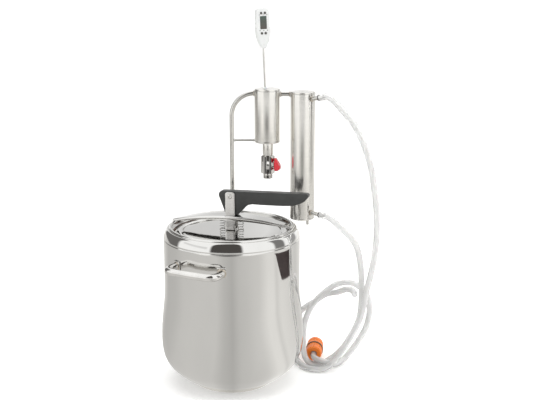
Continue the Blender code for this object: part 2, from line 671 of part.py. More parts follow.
def thermometer():
    frame = empty("thermometer_frame", Matrix.Translation((THERMO_X, COLUMN_Y, STEAMER_Z[1]))
                  @ Matrix.Rotation(THERMO_LEAN, 4, "Y") @ Matrix.Rotation(THERMO_YAW, 4, "Z"))
    probe = [(0, CASE_LOW - GAP), (PROBE_R, CASE_LOW - GAP), (PROBE_R, PROBE_LOW + 0.005),
             (0.0003, PROBE_LOW), (0, PROBE_LOW)]
    turned("thermometer_probe", probe, STEEL, frame, steps=16)
    front = case_half("thermometer_front", -1, frame)
    back = case_half("thermometer_back", 1, frame)
    window = (2 * SCREEN[0], 0.01, 2 * SCREEN[1])
    cut_box(front, window, at(0, -CASE_DEEP, SCREEN_Z), frame)
    pane = (2 * (SCREEN[0] - GAP), 0.0012, 2 * (SCREEN[1] - GAP))
    box("display", pane, GREEN, frame, at(0, 0.0010 - CASE_DEEP, SCREEN_Z))
    box("circuit_board", (0.021, 0.0010, 0.036), RED, frame, at(0, -0.0030, SCREEN_Z))
    for name, (x, z) in BUTTONS.items():
        spot = along((x, 0, z), (0, -1, 0))
        drill(front, BUTTON_R + GAP, 0.004, 0.01, spot, frame, 16)
        cylinder(name, BUTTON_R, 0.0042, CASE_DEEP + 0.0007, DARK, frame, spot, 16)
    cover = along((0, 0, 0.125), (0, 1, 0))
    drill(back, 0.0075, 0.003, 0.01, cover, frame)
    cylinder("battery_cover", 0.0075 - GAP, CASE_DEEP - 0.0014, CASE_DEEP - 0.0001, WHITE, frame, cover)
    cylinder("battery_cell", 0.0058, 0.0003, CASE_DEEP - 0.0014 - GAP, STEEL, frame, cover)


def hoses():
    """Both hoses. Each leaves its nipple and enters its connector straight, so those spans stay whole."""
    for name, route in (("hose_outlet", OUTLET_ROUTE), ("hose_inlet", INLET_ROUTE)):
        line = smooth_curve(route, HOSE_STEPS)
        middle = evenly(line[HOSE_STEPS:-HOSE_STEPS], HOSE_STEP)
        tube(name, [line[0], *middle, line[-1]], HOSE_R, CLEAR, resolution=2)


def hose_connector():
    """The snap connector on the inlet hose, lying on the floor behind its loop."""
    place = along(CONNECTOR_FACE, CONNECTOR_AXIS)
    bore = 0.0073
    nut = [(0.0172, 0.0240), (0.0164, 0.0040), (0.0142, 0), (bore, 0), (bore, 0.0240)]
    turned("connector_nut", nut, ORANGE, matrix=place, steps=24, closed=True)
    ring("connector_ring", bore, 0.0183, 0.0243, 0.0283, DARK, matrix=place, steps=24)
    body = [(0.0150, 0.0460), (0.0178, 0.0420), (0.0178, 0.0286), (0.0045, 0.0286), (0.0045, 0.0120),
            (0.0012, 0.0120), (0.0012, 0.0330), (0.0080, 0.0330), (0.0080, 0.0460)]
    turned("connector_body", body, ORANGE, matrix=place, steps=24, closed=True)
    collar = [(0.0150, 0.0580), (0.0168, 0.0560), (0.0168, 0.0480), (0.0150, 0.0463), (0.0080, 0.0463),
              (0.0080, 0.0580)]
    turned("connector_collar", collar, ORANGE, matrix=place, steps=24, closed=True)


def main():
    pot()
    side_handle("left", HANDLE_ANGLE)
    side_handle("right", HANDLE_ANGLE + math.pi)
    lid()
    clamp = empty("clamp_frame", Matrix.Rotation(CLAMP_TURN, 4, "Z"))
    crossbar(clamp)
    yoke(clamp)
    pivot_pin(clamp)
    lever(clamp)
    springs(clamp)
    vapour_joint()
    vapour_pipe()
    column()
    condenser_coil()
    water_nipples()
    valve()
    thermometer()
    hoses()
    hose_connector()


clear_scene()
PARTS = new_collection("pot_still")
CUTTERS = new_collection("cutters")
main()
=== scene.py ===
import math

import bmesh
import bpy
from mathutils import Matrix, Vector


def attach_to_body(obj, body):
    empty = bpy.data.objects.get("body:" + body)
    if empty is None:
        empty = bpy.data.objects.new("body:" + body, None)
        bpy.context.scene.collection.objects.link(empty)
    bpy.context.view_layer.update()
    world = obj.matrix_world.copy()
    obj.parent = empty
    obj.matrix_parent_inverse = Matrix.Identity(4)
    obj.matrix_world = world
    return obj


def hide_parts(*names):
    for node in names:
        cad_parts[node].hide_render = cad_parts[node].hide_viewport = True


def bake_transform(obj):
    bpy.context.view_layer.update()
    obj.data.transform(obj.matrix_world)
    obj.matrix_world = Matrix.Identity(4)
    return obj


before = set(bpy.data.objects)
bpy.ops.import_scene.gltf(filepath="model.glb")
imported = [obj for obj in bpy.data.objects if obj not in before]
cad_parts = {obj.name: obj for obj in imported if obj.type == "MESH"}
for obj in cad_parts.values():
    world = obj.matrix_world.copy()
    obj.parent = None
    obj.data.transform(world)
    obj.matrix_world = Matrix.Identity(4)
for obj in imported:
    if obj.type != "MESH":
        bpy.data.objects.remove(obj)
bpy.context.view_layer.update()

# Sizes that the CAD model has too, in metres.
GAP = 0.0003
BASE_R = 0.080
BASE_TOP = 0.0066
WALL = 0.0012
BELLY = [(0.133, 0.2935), (0.133, 0.240), (0.133, 0.200), (0.1337, 0.180), (0.1360, 0.158),
         (0.1392, 0.128), (0.1408, 0.100), (0.1400, 0.077), (0.1365, 0.058), (0.1285, 0.042),
         (0.1165, 0.029), (0.1000, 0.0155), (0.0820, 0.0072)]
SHOULDER = ((0.1240, 0.3145), (0.1290, 0.3145), (0.1328, 0.2968))
BEAD = ((0.1193, 0.3145), (0.0031, 0.0031))
HANDLE_Z = 0.260
HANDLE_ANGLE = math.radians(-116.9)
PAD_ANGLE = math.radians(21.1)
LID_TOP = 0.3080
CLAMP = Matrix.Rotation(math.radians(-15), 4, "Z")
BAR_HALF = 0.1205
PIN_Z = 0.376
YOKE_TOP = 0.3845
COLUMN_Y = 0.045
PIPE_R = 0.00425
PIPE_BEND = 0.0437
PIPE_TOP = 0.5685
LINK_Z = 0.567
BRACE_Z = 0.4768
STEAMER = (0.0694, 0.025, 0.4728, 0.5775)
CONDENSER = (0.1384, 0.024, 0.319, 0.572)
VALVE_X = 0.0705
VALVE_MID = 0.4285
STEM_TURN = math.radians(-18)
STAND = Matrix.Rotation(math.radians(90), 4, "X")
THERMO = (Matrix.Translation((0.0652, COLUMN_Y, 0.5775)) @ Matrix.Rotation(math.radians(-2.4), 4, "Y")
          @ Matrix.Rotation(math.radians(20), 4, "Z"))
HOSE_R = 0.006
HOSE_BORE = 0.0042
NIPPLE_COVER = 0.010
PROBE_CLEAR = 0.0019
CONNECTOR_FACE, CONNECTOR_AXIS = (0.1655, 0.070, 0.0186), (0.11, 0.994, 0.0)
OUTLET_ROUTE = [
    (0.1768, 0.0067, 0.5658), (0.1824, 0.0012, 0.5674), (0.195, -0.006, 0.560),
    (0.216, -0.011, 0.538), (0.233, -0.012, 0.517), (0.249, -0.012, 0.487), (0.262, -0.010, 0.452),
    (0.270, -0.008, 0.424), (0.275, -0.006, 0.394), (0.281, -0.002, 0.351), (0.284, 0.003, 0.310),
    (0.281, 0.008, 0.251), (0.275, 0.010, 0.213), (0.268, 0.012, 0.181), (0.262, 0.013, 0.143),
    (0.252, 0.014, 0.109), (0.234, 0.015, 0.074), (0.217, 0.017, 0.043), (0.204, 0.018, 0.024),
    (0.190, 0.019, 0.011), (0.175, 0.018, 0.0067), (0.159, 0.022, 0.0066), (0.143, 0.038, 0.0066),
    (0.131, 0.068, 0.0066), (0.119, 0.100, 0.010), (0.1155, 0.121, 0.031), (0.121, 0.1275, 0.060),
    (0.133, 0.115, 0.089), (0.148, 0.104, 0.110), (0.167, 0.098, 0.1245), (0.189, 0.089, 0.1435),
    (0.2135, 0.060, 0.159), (0.230, 0.042, 0.1705), (0.241, 0.025, 0.173), (0.244, 0.010, 0.170)]
INLET_ROUTE = [
    (0.1803, 0.0045, 0.334), (0.1861, -0.001, 0.3339), (0.198, -0.006, 0.326),
    (0.213, -0.007, 0.312), (0.231, -0.002, 0.293), (0.244, 0.004, 0.273), (0.253, 0.014, 0.239),
    (0.258, 0.025, 0.196), (0.2595, 0.034, 0.149), (0.258, 0.038, 0.119), (0.251, 0.042, 0.092),
    (0.236, 0.046, 0.060), (0.217, 0.048, 0.033), (0.199, 0.048, 0.0175), (0.183, 0.0465, 0.009),
    (0.170, 0.0455, 0.0066), (0.160, 0.046, 0.0078), (0.1515, 0.048, 0.0135),
    (0.1462, 0.0515, 0.0235), (0.1437, 0.0555, 0.039), (0.143, 0.059, 0.057),
    (0.1442, 0.061, 0.077), (0.1475, 0.0625, 0.097), (0.155, 0.064, 0.117), (0.170, 0.066, 0.140),
    (0.190, 0.068, 0.1585), (0.215, 0.069, 0.174), (0.241, 0.069, 0.176), (0.263, 0.069, 0.164),
    (0.277, 0.069, 0.142), (0.280, 0.069, 0.112), (0.273, 0.069, 0.078), (0.258, 0.069, 0.049),
    (0.242, 0.069, 0.025), (0.2295, 0.064, 0.0115), (0.2185, 0.055, 0.0066), (0.210, 0.045, 0.007),
    (0.201, 0.037, 0.011), (0.191, 0.0325, 0.016), (0.181, 0.0336, 0.019), (0.1727, 0.0387, 0.020),
    (0.1673, 0.047, 0.0196), (0.1654, 0.0575, 0.0189), (0.1655, 0.070, 0.0186),
    (0.1667, 0.0805, 0.0186)]
CASE = [(0.0030, 0.0778), (0.0052, 0.0805), (0.0095, 0.0895), (0.0122, 0.0985), (0.0135, 0.1080),
        (0.0135, 0.1450), (0.0122, 0.1500), (0.0085, 0.1530), (0.0040, 0.1540)]

# The camera, in millimetres, metres and degrees below level.
LENS, SENSOR = 62.75, 36
CAMERA_PLACE = (0.0795, -1.794, 0.7876)
CAMERA_TILT = 13.2

# What polished steel reflects. Azimuths run from the front, in degrees, positive towards +X.
TABLE_REACH = 1.75
FLOOR_REACH = 14.0
TABLE_BANDS = [(-180, 0.98), (-150, 0.80), (-125, 0.58), (-100, 0.62), (-80, 0.70), (-52, 0.73),
               (-22, 0.74), (-10, 0.62), (2, 0.55), (12, 0.65), (26, 0.70), (44, 0.78), (60, 0.95),
               (70, 0.95), (76, 0.82), (84, 0.92), (110, 0.84), (128, 0.74), (150, 0.85), (180, 0.98)]
COLUMN_BANDS = [(-180, 0.98), (-145, 0.72), (-118, 0.38), (-92, 0.22), (-68, 0.52), (-50, 1.0),
                (-40, 1.0), (-26, 0.55), (-12, 0.12), (-3, 0.08), (8, 0.22), (20, 0.78), (32, 1.0),
                (52, 1.0), (68, 0.60), (92, 0.38), (112, 0.55), (130, 0.88), (150, 0.98), (180, 0.98)]
# Left and right azimuth, lowest and highest elevation, softness and depth of each dark opening.
DARK_CARDS = [
    (-34, 20, 6, 84, 3.0, 1.0),
    (-152, -97, -9, 46, 4.0, 0.92),
    (78, 100, -9, 44, 3.0, 0.85),
    (116, 138, -9, 34, 4.0, 0.7),
    (-88, -40, 14, 22, 2.0, 0.25),
    (-181, -156, 7, 26, 5.0, 0.40),
    (142, 181, 7, 26, 5.0, 0.40),
]
# A dark screen beside the pot, which only reflections see, as (y, z) corners at its own x.
SCREEN_X = 0.375
SCREEN_CORNERS = [(-0.070, 0.142), (0.075, 0.142), (0.100, 0.215), (-0.175, 0.215)]
HORIZON_RISE = (math.radians(-6.6), math.radians(-5.8))
TENT_RISE = (math.radians(-5.5), math.radians(-3.0))
FLOOR_Z = -0.0002
FLOOR_GLOW = 0.17
WORLD_STRENGTH = 1.18
# Each lamp's name, place, target, size and power.
LAMPS = [("top", (0.1, -0.2, 2.6), (0.1, 0.0, 0.2), (2.6, 2.6), 34),
         ("left", (-2.2, -1.2, 1.5), (0.05, 0, 0.3), (1.4, 1.8), 16),
         ("right", (2.3, -1.0, 1.4), (0.05, 0, 0.3), (1.4, 1.8), 16)]


# Nodes

def node(tree, kind, inputs=(), **settings):
    """A new shader node. Each input is (socket, value), and a value may be another node's output."""
    made = tree.nodes.new("ShaderNode" + kind)
    for name, value in settings.items():
        setattr(made, name, value)
    for key, value in dict(inputs).items():
        if isinstance(value, bpy.types.NodeSocket):
            tree.links.new(value, made.inputs[key])
        else:
            made.inputs[key].default_value = value
    return made


def math_node(tree, operation, first, second=0.0):
    return node(tree, "Math", {0: first, 1: second}, operation=operation).outputs[0]


def remap(tree, value, source, target, kind="LINEAR"):
    return node(tree, "MapRange", {"Value": value, "From Min": source[0], "From Max": source[1],
                                   "To Min": target[0], "To Max": target[1]},
                interpolation_type=kind).outputs["Result"]


def noise(tree, vector, stretch, scale=1.0, detail=3.0):
    stretch = stretch if isinstance(stretch, tuple) else (stretch,) * 3
    mapped = node(tree, "Mapping", {"Vector": vector, "Scale": stretch}).outputs["Vector"]
    return node(tree, "TexNoise", {"Vector": mapped, "Scale": scale, "Detail": detail}).outputs["Fac"]


def shade(colour, factor):
    return (*[min(1.0, c * factor) for c in colour], 1.0)


def surface(name, colour, roughness, metallic=0.0, grain=60, tint=0.05, spread=0.04,
            relief=0.0, relief_grain=900, wave=0.0, **fixed):
    """A material whose colour, gloss and relief all vary. Fixed holds sockets that stay constant."""
    material = bpy.data.materials.new(name)
    material.use_nodes = True
    tree = material.node_tree
    shader = tree.nodes["Principled BSDF"]
    place = node(tree, "TexCoord").outputs["Object"]
    blotch = noise(tree, place, grain)
    mix = node(tree, "Mix", {0: remap(tree, blotch, (0.3, 0.7), (0, 1)), 6: shade(colour, 1 - tint),
                             7: shade(colour, 1 + tint)}, data_type="RGBA")
    tree.links.new(mix.outputs[2], shader.inputs["Base Color"])
    gloss = remap(tree, noise(tree, place, grain, 2.3, 5.0), (0.3, 0.7),
                  (max(0.02, roughness - spread), roughness + spread))
    tree.links.new(gloss, shader.inputs["Roughness"])
    shader.inputs["Metallic"].default_value = metallic
    normal = None
    if wave:
        slow = noise(tree, place, (9, 9, 7), 1.0, 1.0)
        normal = node(tree, "Bump", {"Height": slow, "Strength": 1.0, "Distance": wave}).outputs[0]
    if relief:
        fine = node(tree, "Bump", {"Height": noise(tree, place, relief_grain, 1.0, 2.0),
                                   "Strength": 1.0, "Distance": relief})
        if normal:
            tree.links.new(normal, fine.inputs["Normal"])
        normal = fine.outputs[0]
    if normal:
        tree.links.new(normal, shader.inputs["Normal"])
    for key, value in fixed.items():
        shader.inputs[key.replace("_", " ").title().replace("Ior", "IOR")].default_value = value
    return material


def brushed(name, colour, roughness):
    """Steel brushed round its own upright axis: streaks that catch the light along the height."""
    material = surface(name, colour, roughness, 1.0, grain=(25, 25, 650), tint=0.03, spread=0.03,
                       relief=0.000004, relief_grain=(25, 25, 2600))
    tree = material.node_tree
    shader = tree.nodes["Principled BSDF"]
    shader.inputs["Anisotropic"].default_value = 0.6
    shader.inputs["Anisotropic Rotation"].default_value = 0.25
    tangent = node(tree, "Tangent", direction_type="RADIAL", axis="Z")
    tree.links.new(tangent.outputs[0], shader.inputs["Tangent"])
    return material


POLISHED = surface("polished_steel", (0.735, 0.73, 0.715), 0.055, 1.0, grain=(14, 14, 6), tint=0.025,
                   spread=0.025, wave=0.00035)
BRIGHT = surface("bright_steel", (0.76, 0.75, 0.73), 0.14, 1.0, grain=50, tint=0.05,
                 spread=0.05, relief=0.000006)
CHROMED = surface("chromed_brass", (0.78, 0.77, 0.75), 0.07, 1.0, grain=80, tint=0.03,
                  spread=0.03, relief=0.000005)
SATIN = surface("satin_steel", (0.80, 0.79, 0.775), 0.30, 1.0, grain=(60, 60, 400), tint=0.03,
                relief=0.000004)
# Dark steel for the inside of the crossbar's channel: painted shade under the bar.
UNDERSIDE_SHADE_STEEL = surface("painted_shade_steel", (0.20, 0.195, 0.19), 0.60, 1.0, grain=150, tint=0.12)
BRUSHED = brushed("brushed_steel", (0.80, 0.785, 0.75), 0.20)
PIPE = surface("pipe_steel", (0.70, 0.69, 0.66), 0.20, 1.0, spread=0.06,
               relief=0.00001, relief_grain=(500, 500, 1800))
WELD = surface("weld_steel", (0.52, 0.47, 0.40), 0.34, 1.0, grain=240, tint=0.22, spread=0.1,
               relief=0.00012, relief_grain=900)
# Dark steel for the ring at each hose's end, darker than the nipple itself.
DARK_RING_STEEL = surface("nipple_tip_steel", (0.16, 0.15, 0.15), 0.30, 1.0, grain=200, tint=0.15)
CORE = surface("aluminium_core", (0.75, 0.75, 0.76), 0.40, 1.0, grain=90)
GASKET = surface("brown_gasket", (0.10, 0.065, 0.050), 0.55, grain=120, tint=0.12,
                 relief=0.00002)
BLACK = surface("black_plastic", (0.036, 0.037, 0.036), 0.40, grain=70, tint=0.10, spread=0.05,
                relief=0.000018, relief_grain=1500)
WHITE = surface("white_plastic", (0.66, 0.67, 0.665), 0.30, grain=80, tint=0.015, spread=0.05,
                relief=0.000006)
SILICONE = surface("white_silicone", (0.84, 0.84, 0.82), 0.50, grain=120, tint=0.03,
                   relief=0.00001, subsurface_weight=0.1)
RED = surface("red_enamel", (0.66, 0.014, 0.030), 0.24, grain=90, tint=0.06, coat_weight=0.5,
              relief=0.000012)
BOARD = surface("circuit_board", (0.05, 0.20, 0.09), 0.45, grain=150, tint=0.15)
BUTTON = surface("dark_button", (0.075, 0.07, 0.065), 0.55, grain=200, tint=0.1,
                 relief=0.00001)
PRINT = surface("grey_print", (0.16, 0.16, 0.15), 0.5, grain=300, tint=0.1)
ORANGE = surface("orange_plastic", (0.87, 0.20, 0.012), 0.30, grain=110, tint=0.07,
                 spread=0.06, relief=0.000015, relief_grain=1200)
DARK = surface("dark_rubber", (0.055, 0.045, 0.035), 0.50, grain=150, tint=0.15,
               relief=0.00002)
HOSE = surface("clear_hose", (0.87, 0.87, 0.865), 0.18, tint=0.012, spread=0.05,
               transmission_weight=0.66, ior=1.38)


def screen_material():
    """A dark liquid-crystal screen, green at its top and brown at its foot."""
    material = surface("lcd", (0.05, 0.07, 0.06), 0.16, grain=100, coat_weight=0.4)
    tree = material.node_tree
    shader = tree.nodes["Principled BSDF"]
    place = node(tree, "TexCoord").outputs["Object"]
    height = node(tree, "SeparateXYZ", {"Vector": place}).outputs["Z"]
    grain = math_node(tree, "MULTIPLY", noise(tree, place, 700), 0.0015)
    share = remap(tree, math_node(tree, "ADD", height, grain), (0.6925, 0.7160), (0, 1))
    mix = node(tree, "Mix", {0: share, 6: (0.062, 0.050, 0.042, 1), 7: (0.040, 0.068, 0.054, 1)},
               data_type="RGBA")
    tree.links.new(mix.outputs[2], shader.inputs["Base Color"])
    return material


LCD = screen_material()


# Shapes

def arc(centre, radii, start, end, count):
    angles = [math.radians(start + (end - start) * i / (count - 1)) for i in range(count)]
    return [(centre[0] + radii[0] * math.cos(a), centre[1] + radii[1] * math.sin(a)) for a in angles]


def bend(start, corner, end, count):
    """A quadratic curve from start to end that is pulled towards the corner."""
    start, corner, end = Vector(start), Vector(corner), Vector(end)
    spots = [i / count for i in range(count + 1)]
    return [tuple((1 - t) ** 2 * start + 2 * t * (1 - t) * corner + t * t * end) for t in spots]


def smooth_curve(points, steps):
    """Centripetal Catmull-Rom points through the given ones, with steps to each span."""
    knots = [Vector(p) for p in points]
    knots = [2 * knots[0] - knots[1], *knots, 2 * knots[-1] - knots[-2]]
    found = []
    for p0, p1, p2, p3 in zip(knots, knots[1:], knots[2:], knots[3:]):
        t1 = (p1 - p0).length ** 0.5
        t2 = t1 + (p2 - p1).length ** 0.5
        t3 = t2 + (p3 - p2).length ** 0.5
        for i in range(steps):
            t = t1 + (t2 - t1) * i / steps
            a1 = p0 + (p1 - p0) * (t / t1)
            a2 = p1 + (p2 - p1) * ((t - t1) / (t2 - t1))
            a3 = p2 + (p3 - p2) * ((t - t2) / (t3 - t2))
            b1 = a1 + (a2 - a1) * (t / t2)
            b2 = a2 + (a3 - a2) * ((t - t1) / (t3 - t1))
            found.append(b1 + (b2 - b1) * ((t - t1) / (t2 - t1)))
    found.append(knots[-2])
    return found


def fillet(points, radius, count=4, closed=False, sharpest=150):
    """The line with each corner under the given angle rounded off."""
    found = []
    for i, point in enumerate(points):
        b = Vector(point)
        a, c = Vector(points[i - 1]), Vector(points[(i + 1) % len(points)])
        ends = not closed and i in (0, len(points) - 1)
        if ends or (a - b).angle(c - b) > math.radians(sharpest):
            found.append(tuple(b))
            continue
        reach = radius / math.tan((a - b).angle(c - b) / 2)
        start = b + (a - b).normalized() * min(reach, 0.45 * (a - b).length)
        end = b + (c - b).normalized() * min(reach, 0.45 * (c - b).length)
        for k in range(count + 1):
            t = k / count
            found.append(tuple((1 - t) ** 2 * start + 2 * t * (1 - t) * b + t * t * end))
    return found


def inset(profile, distance):
    found = []
    for i, point in enumerate(profile):
        way = Vector(profile[min(i + 1, len(profile) - 1)]) - Vector(profile[max(i - 1, 0)])
        way.normalize()
        found.append((point[0] + way.y * distance, point[1] - way.x * distance))
    return found


def lathe(profile, steps=96, shape=None, closed=False):
    """A profile of (radius, height) turned about Z. Shape may change a radius by (r, z, angle)."""
    verts, rows = [], []
    for r, z in profile:
        if r < 1e-7:
            rows.append([len(verts)] * steps)
            verts.append((0, 0, z))
            continue
        rows.append(list(range(len(verts), len(verts) + steps)))
        for k in range(steps):
            angle = 2 * math.pi * k / steps
            reach = shape(r, z, angle) if shape else r
            verts.append((reach * math.cos(angle), reach * math.sin(angle), z))
    pairs = list(zip(rows, rows[1:]))
    if closed:
        pairs.append((rows[-1], rows[0]))
    faces = []
    for a, b in pairs:
        for k in range(steps):
            j = (k + 1) % steps
            face = list(dict.fromkeys((a[k], a[j], b[j], b[k])))
            if len(face) > 2:
                faces.append(face)
    return verts, faces


def ring(points, radius, steps, count=3):
    """A closed profile with its corners rounded off, turned about Z."""
    return lathe(fillet(points, radius, count, closed=True), steps, closed=True)


def hexed(flats):
    """A shape for lathe: a hexagon that far across its flats."""
    sixth = math.pi / 3
    return lambda r, z, angle: min(r, flats / 2 / math.cos(angle % sixth - sixth / 2))


def rippled(count, depth, past):
    """A shape for lathe: weld ripples wherever the radius is past the given one."""
    return lambda r, z, angle: r + depth * math.sin(count * angle) * (r > past)


def ribbed(count, depth, low, high, sharp=1.0):
    """A shape for lathe: grip ribs between two heights."""
    def shape(r, z, angle):
        if not low < z < high or r < depth * 4:
            return r
        return r - depth * (0.5 - 0.5 * math.cos(count * angle)) ** sharp
    return shape


def sweep(points, radius, sides=20, bore=0.0):
    """A round bar along the points, or a pipe if it has a bore. The radius may change along it."""
    points = [Vector(p) for p in points]
    radii = radius if isinstance(radius, list) else [radius] * len(points)
    verts, rings = [], []
    side = None
    for i, point in enumerate(points):
        way = (points[min(i + 1, len(points) - 1)] - points[max(i - 1, 0)]).normalized()
        if side is None:
            side = way.orthogonal().normalized()
        side = (side - way * side.dot(way)).normalized()
        other = way.cross(side)
        for reach in (radii[i], bore) if bore else (radii[i],):
            rings.append(range(len(verts), len(verts) + sides))
            for k in range(sides):
                a = 2 * math.pi * k / sides
                verts.append(point + (side * math.cos(a) + other * math.sin(a)) * reach)
    faces = []

    def join(a, b):
        faces.extend((a[k], a[(k + 1) % sides], b[(k + 1) % sides], b[k]) for k in range(sides))

    if bore:
        outer, inner = rings[::2], rings[1::2]
        for line in (outer, inner):
            for a, b in zip(line, line[1:]):
                join(a, b)
        join(outer[0], inner[0])
        join(outer[-1], inner[-1])
    else:
        for a, b in zip(rings, rings[1:]):
            join(a, b)
        faces += [tuple(rings[0]), tuple(rings[-1])]
    return verts, faces


def rod(low, high, radius, sides, x=0.0, y=0.0):
    """An upright round bar, for drilling holes."""
    return sweep([(x, y, low), (x, y, high)], radius, sides)


def outward_mesh(name, shape):
    """A mesh from (vertices, faces), with its faces turned outward."""
    mesh = bpy.data.meshes.new(name)
    mesh.from_pydata([tuple(v) for v in shape[0]], [], [tuple(f) for f in shape[1]])
    bm = bmesh.new()
    bm.from_mesh(mesh)
    bmesh.ops.recalc_face_normals(bm, faces=bm.faces)
    bm.to_mesh(mesh)
    bm.free()
    return mesh


def in_scene(name, data):
    obj = bpy.data.objects.new(name, data)
    bpy.context.scene.collection.objects.link(obj)
    return obj


def piece(name, shape, material, body, replaces=(), place=None, crease=40):
    """An object from (vertices, faces), pointing outward, riding on its body."""
    mesh = outward_mesh(name, shape)
    if place is not None:
        mesh.transform(place)
    obj = in_scene(name, mesh)
    mesh.materials.append(material)
    mesh.shade_smooth()
    mesh.set_sharp_from_angle(angle=math.radians(crease))
    return attach(obj, body, replaces)


def attach(obj, body, replaces=()):
    if body:
        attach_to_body(obj, body)
    if replaces:
        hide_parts(*replaces)
    return obj


def at(x, y, z=0.0):
    return Matrix.Translation((x, y, z))


def along(point, direction):
    turn = Vector(direction).to_track_quat("Z", "Y")
    return Matrix.Translation(point) @ turn.to_matrix().to_4x4()


def slab(outline, low, high, edge, segments=3):
    """An outline in X and Y between two heights, with its rims rounded."""
    bm = bmesh.new()
    loop = [bm.verts.new((x, y, low)) for x, y in outline]
    face = bm.faces.new(loop)
    new = bmesh.ops.extrude_face_region(bm, geom=[face])["geom"]
    for vert in new:
        if isinstance(vert, bmesh.types.BMVert):
            vert.co.z = high
    rims = [e for e in bm.edges if abs(e.verts[0].co.z - e.verts[1].co.z) < 1e-9]
    bmesh.ops.bevel(bm, geom=rims, offset=edge, segments=segments, profile=0.5, affect="EDGES")
    bm.verts.index_update()
    shape = [v.co.copy() for v in bm.verts], [[v.index for v in f.verts] for f in bm.faces]
    bm.free()
    return shape


def merge(*shapes):
    verts, faces = [], []
    for more, these in shapes:
        faces += [[i + len(verts) for i in face] for face in these]
        verts += list(more)
    return verts, faces


def moved(shape, matrix):
    return [matrix @ Vector(v) for v in shape[0]], shape[1]


def carve(obj, *tools):
    """Cuts the tools' shapes out of the object, for good."""
    for tool in tools:
        helper = in_scene("tool", outward_mesh("tool", tool))
        helper.matrix_world = obj.matrix_world
        cut = obj.modifiers.new("cut", "BOOLEAN")
        cut.object = helper
        bpy.context.view_layer.update()
        final = obj.evaluated_get(bpy.context.evaluated_depsgraph_get())
        result = bpy.data.meshes.new_from_object(final)
        obj.modifiers.remove(cut)
        result.set_sharp_from_angle(angle=math.radians(40))
        obj.data = result
        bpy.data.objects.remove(helper)


def block(size, centre):
    x, y, z = [s / 2 for s in size]
    verts = [Vector(centre) + Vector((i * x, j * y, k * z))
             for i in (-1, 1) for j in (-1, 1) for k in (-1, 1)]
    faces = [(0, 1, 3, 2), (4, 6, 7, 5), (0, 4, 5, 1), (2, 3, 7, 6), (0, 2, 6, 4), (1, 5, 7, 3)]
    return verts, faces


# Camera, hoses

def camera():
    data = bpy.data.cameras.new("camera")
    data.lens = LENS
    data.sensor_width = SENSOR
    obj = in_scene("camera", data)
    obj.location = CAMERA_PLACE
    obj.rotation_euler = (math.radians(90 - CAMERA_TILT), 0, 0)
    bpy.context.scene.camera = obj


def hoses(coupling):
    """Two lengths of clear hose, each pushed over its nipple."""
    for name, route, far, rest in (("outlet", OUTLET_ROUTE, "bare", ()),
                                   ("inlet", INLET_ROUTE, "connector", coupling)):
        line = smooth_curve(route, 8)
        way = (line[0] - line[8]).normalized()
        line = [line[0] + way * NIPPLE_COVER, line[0] + way * NIPPLE_COVER / 2, *line]
        radii = [HOSE_R - 0.0004, *[HOSE_R] * (len(line) - 2), HOSE_R - 0.0004]
        shape = sweep(line, radii, 28, HOSE_BORE)
        hose = piece(f"hose_{name}_tube", shape, HOSE, "root", (f"hose_{name}",))


# Pot, lid and clamp

def pot():
    shoulder = bend(*SHOULDER, 22)
    crease = [(0.1324, 0.2962), (0.1323, 0.2955), (0.1325, 0.2948), (0.1329, 0.2942)]
    belly = [tuple(p) for p in smooth_curve(BELLY, 7)]
    outer = shoulder + crease + belly
    inner = inset(outer, WALL)[::-1]
    bead = arc(*BEAD, 205, -25, 18)
    lip = fillet([(0.1212, 0.3098), (0.1180, 0.3066), (0.114, 0.3066), (0.114, 0.3078),
                  (0.1166, 0.3082)], 0.0006, 3)
    floor = BASE_TOP + WALL
    profile = [(0, floor), (0.050, floor), (BASE_R - 0.001, floor), *inner, *lip, *bead, *outer]
    profile += [(BASE_R, BASE_TOP), (0.050, BASE_TOP), (0, BASE_TOP)]
    piece("pot_body", lathe(profile, 192), POLISHED, "root", ("pot_shell",),
          crease=50)
    cup = fillet([(BASE_R - 0.0011, BASE_TOP - GAP), (BASE_R - 0.0001, BASE_TOP - GAP), (BASE_R, 0.0012),
                  (BASE_R - 0.0012, 0)], 0.0005)
    rings = [(0.062, 0), (0.0615, 0.0003), (0.0595, 0.0003), (0.059, 0), (0.030, 0), (0.0295, 0.0003),
             (0.0275, 0.0003), (0.027, 0), (0, 0)]
    cup = [(0, 0.0013), (BASE_R - 0.0011, 0.0013), *cup, *rings]
    piece("pot_base", lathe(cup, 160), BRUSHED, "root", ("base_cap",))


def side_handles():
    start = 0.1355
    half = [(r * math.cos(PAD_ANGLE), r * math.sin(PAD_ANGLE)) for r in (start, start + 0.0065)]
    half += [(0.1460, 0.0515), (0.1550, 0.0478), (0.1592, 0.0390), (0.1605, 0.0200)]
    outline = half + [(0.1612, 0)] + [(x, -y) for x, y in reversed(half)]
    path = [(p.x, p.y, 0) for p in smooth_curve(outline, 8)]
    for side, turn in (("left", HANDLE_ANGLE), ("right", HANDLE_ANGLE + math.pi)):
        place = Matrix.Rotation(turn, 4, "Z") @ at(0, 0, HANDLE_Z)
        piece(f"handle_{side}_tube", sweep(path, 0.007, 32), BRIGHT, "root",
              (f"handle_{side}",), place)
        for tag, sign in (("front", 1), ("back", -1)):
            spot = place @ Matrix.Rotation(sign * PAD_ANGLE, 4, "Z")
            corners = fillet([(-0.009, -0.011), (0.009, -0.011), (0.009, 0.011), (-0.009, 0.011)],
                             0.0035, 5, closed=True)
            pad = slab(corners, 0, 0.0014, 0.0005)
            face = spot @ along((0.1336, 0, 0), (1, 0, 0))
            piece(f"handle_{side}_plate_{tag}", pad, BRIGHT, "root",
                  (f"handle_{side}_pad_{tag}",), face)
            bead = [(0.0070, 0.0034), (0.0076, 0.0030), (0.0082, 0.0020), (0.0090, 0.0015), (0.0070, 0.0015)]
            weld = lathe(bead, 40, rippled(17, 0.00025, 0.0072), closed=True)
            piece(f"handle_{side}_weld_{tag}", weld, WELD, "root", (), face)


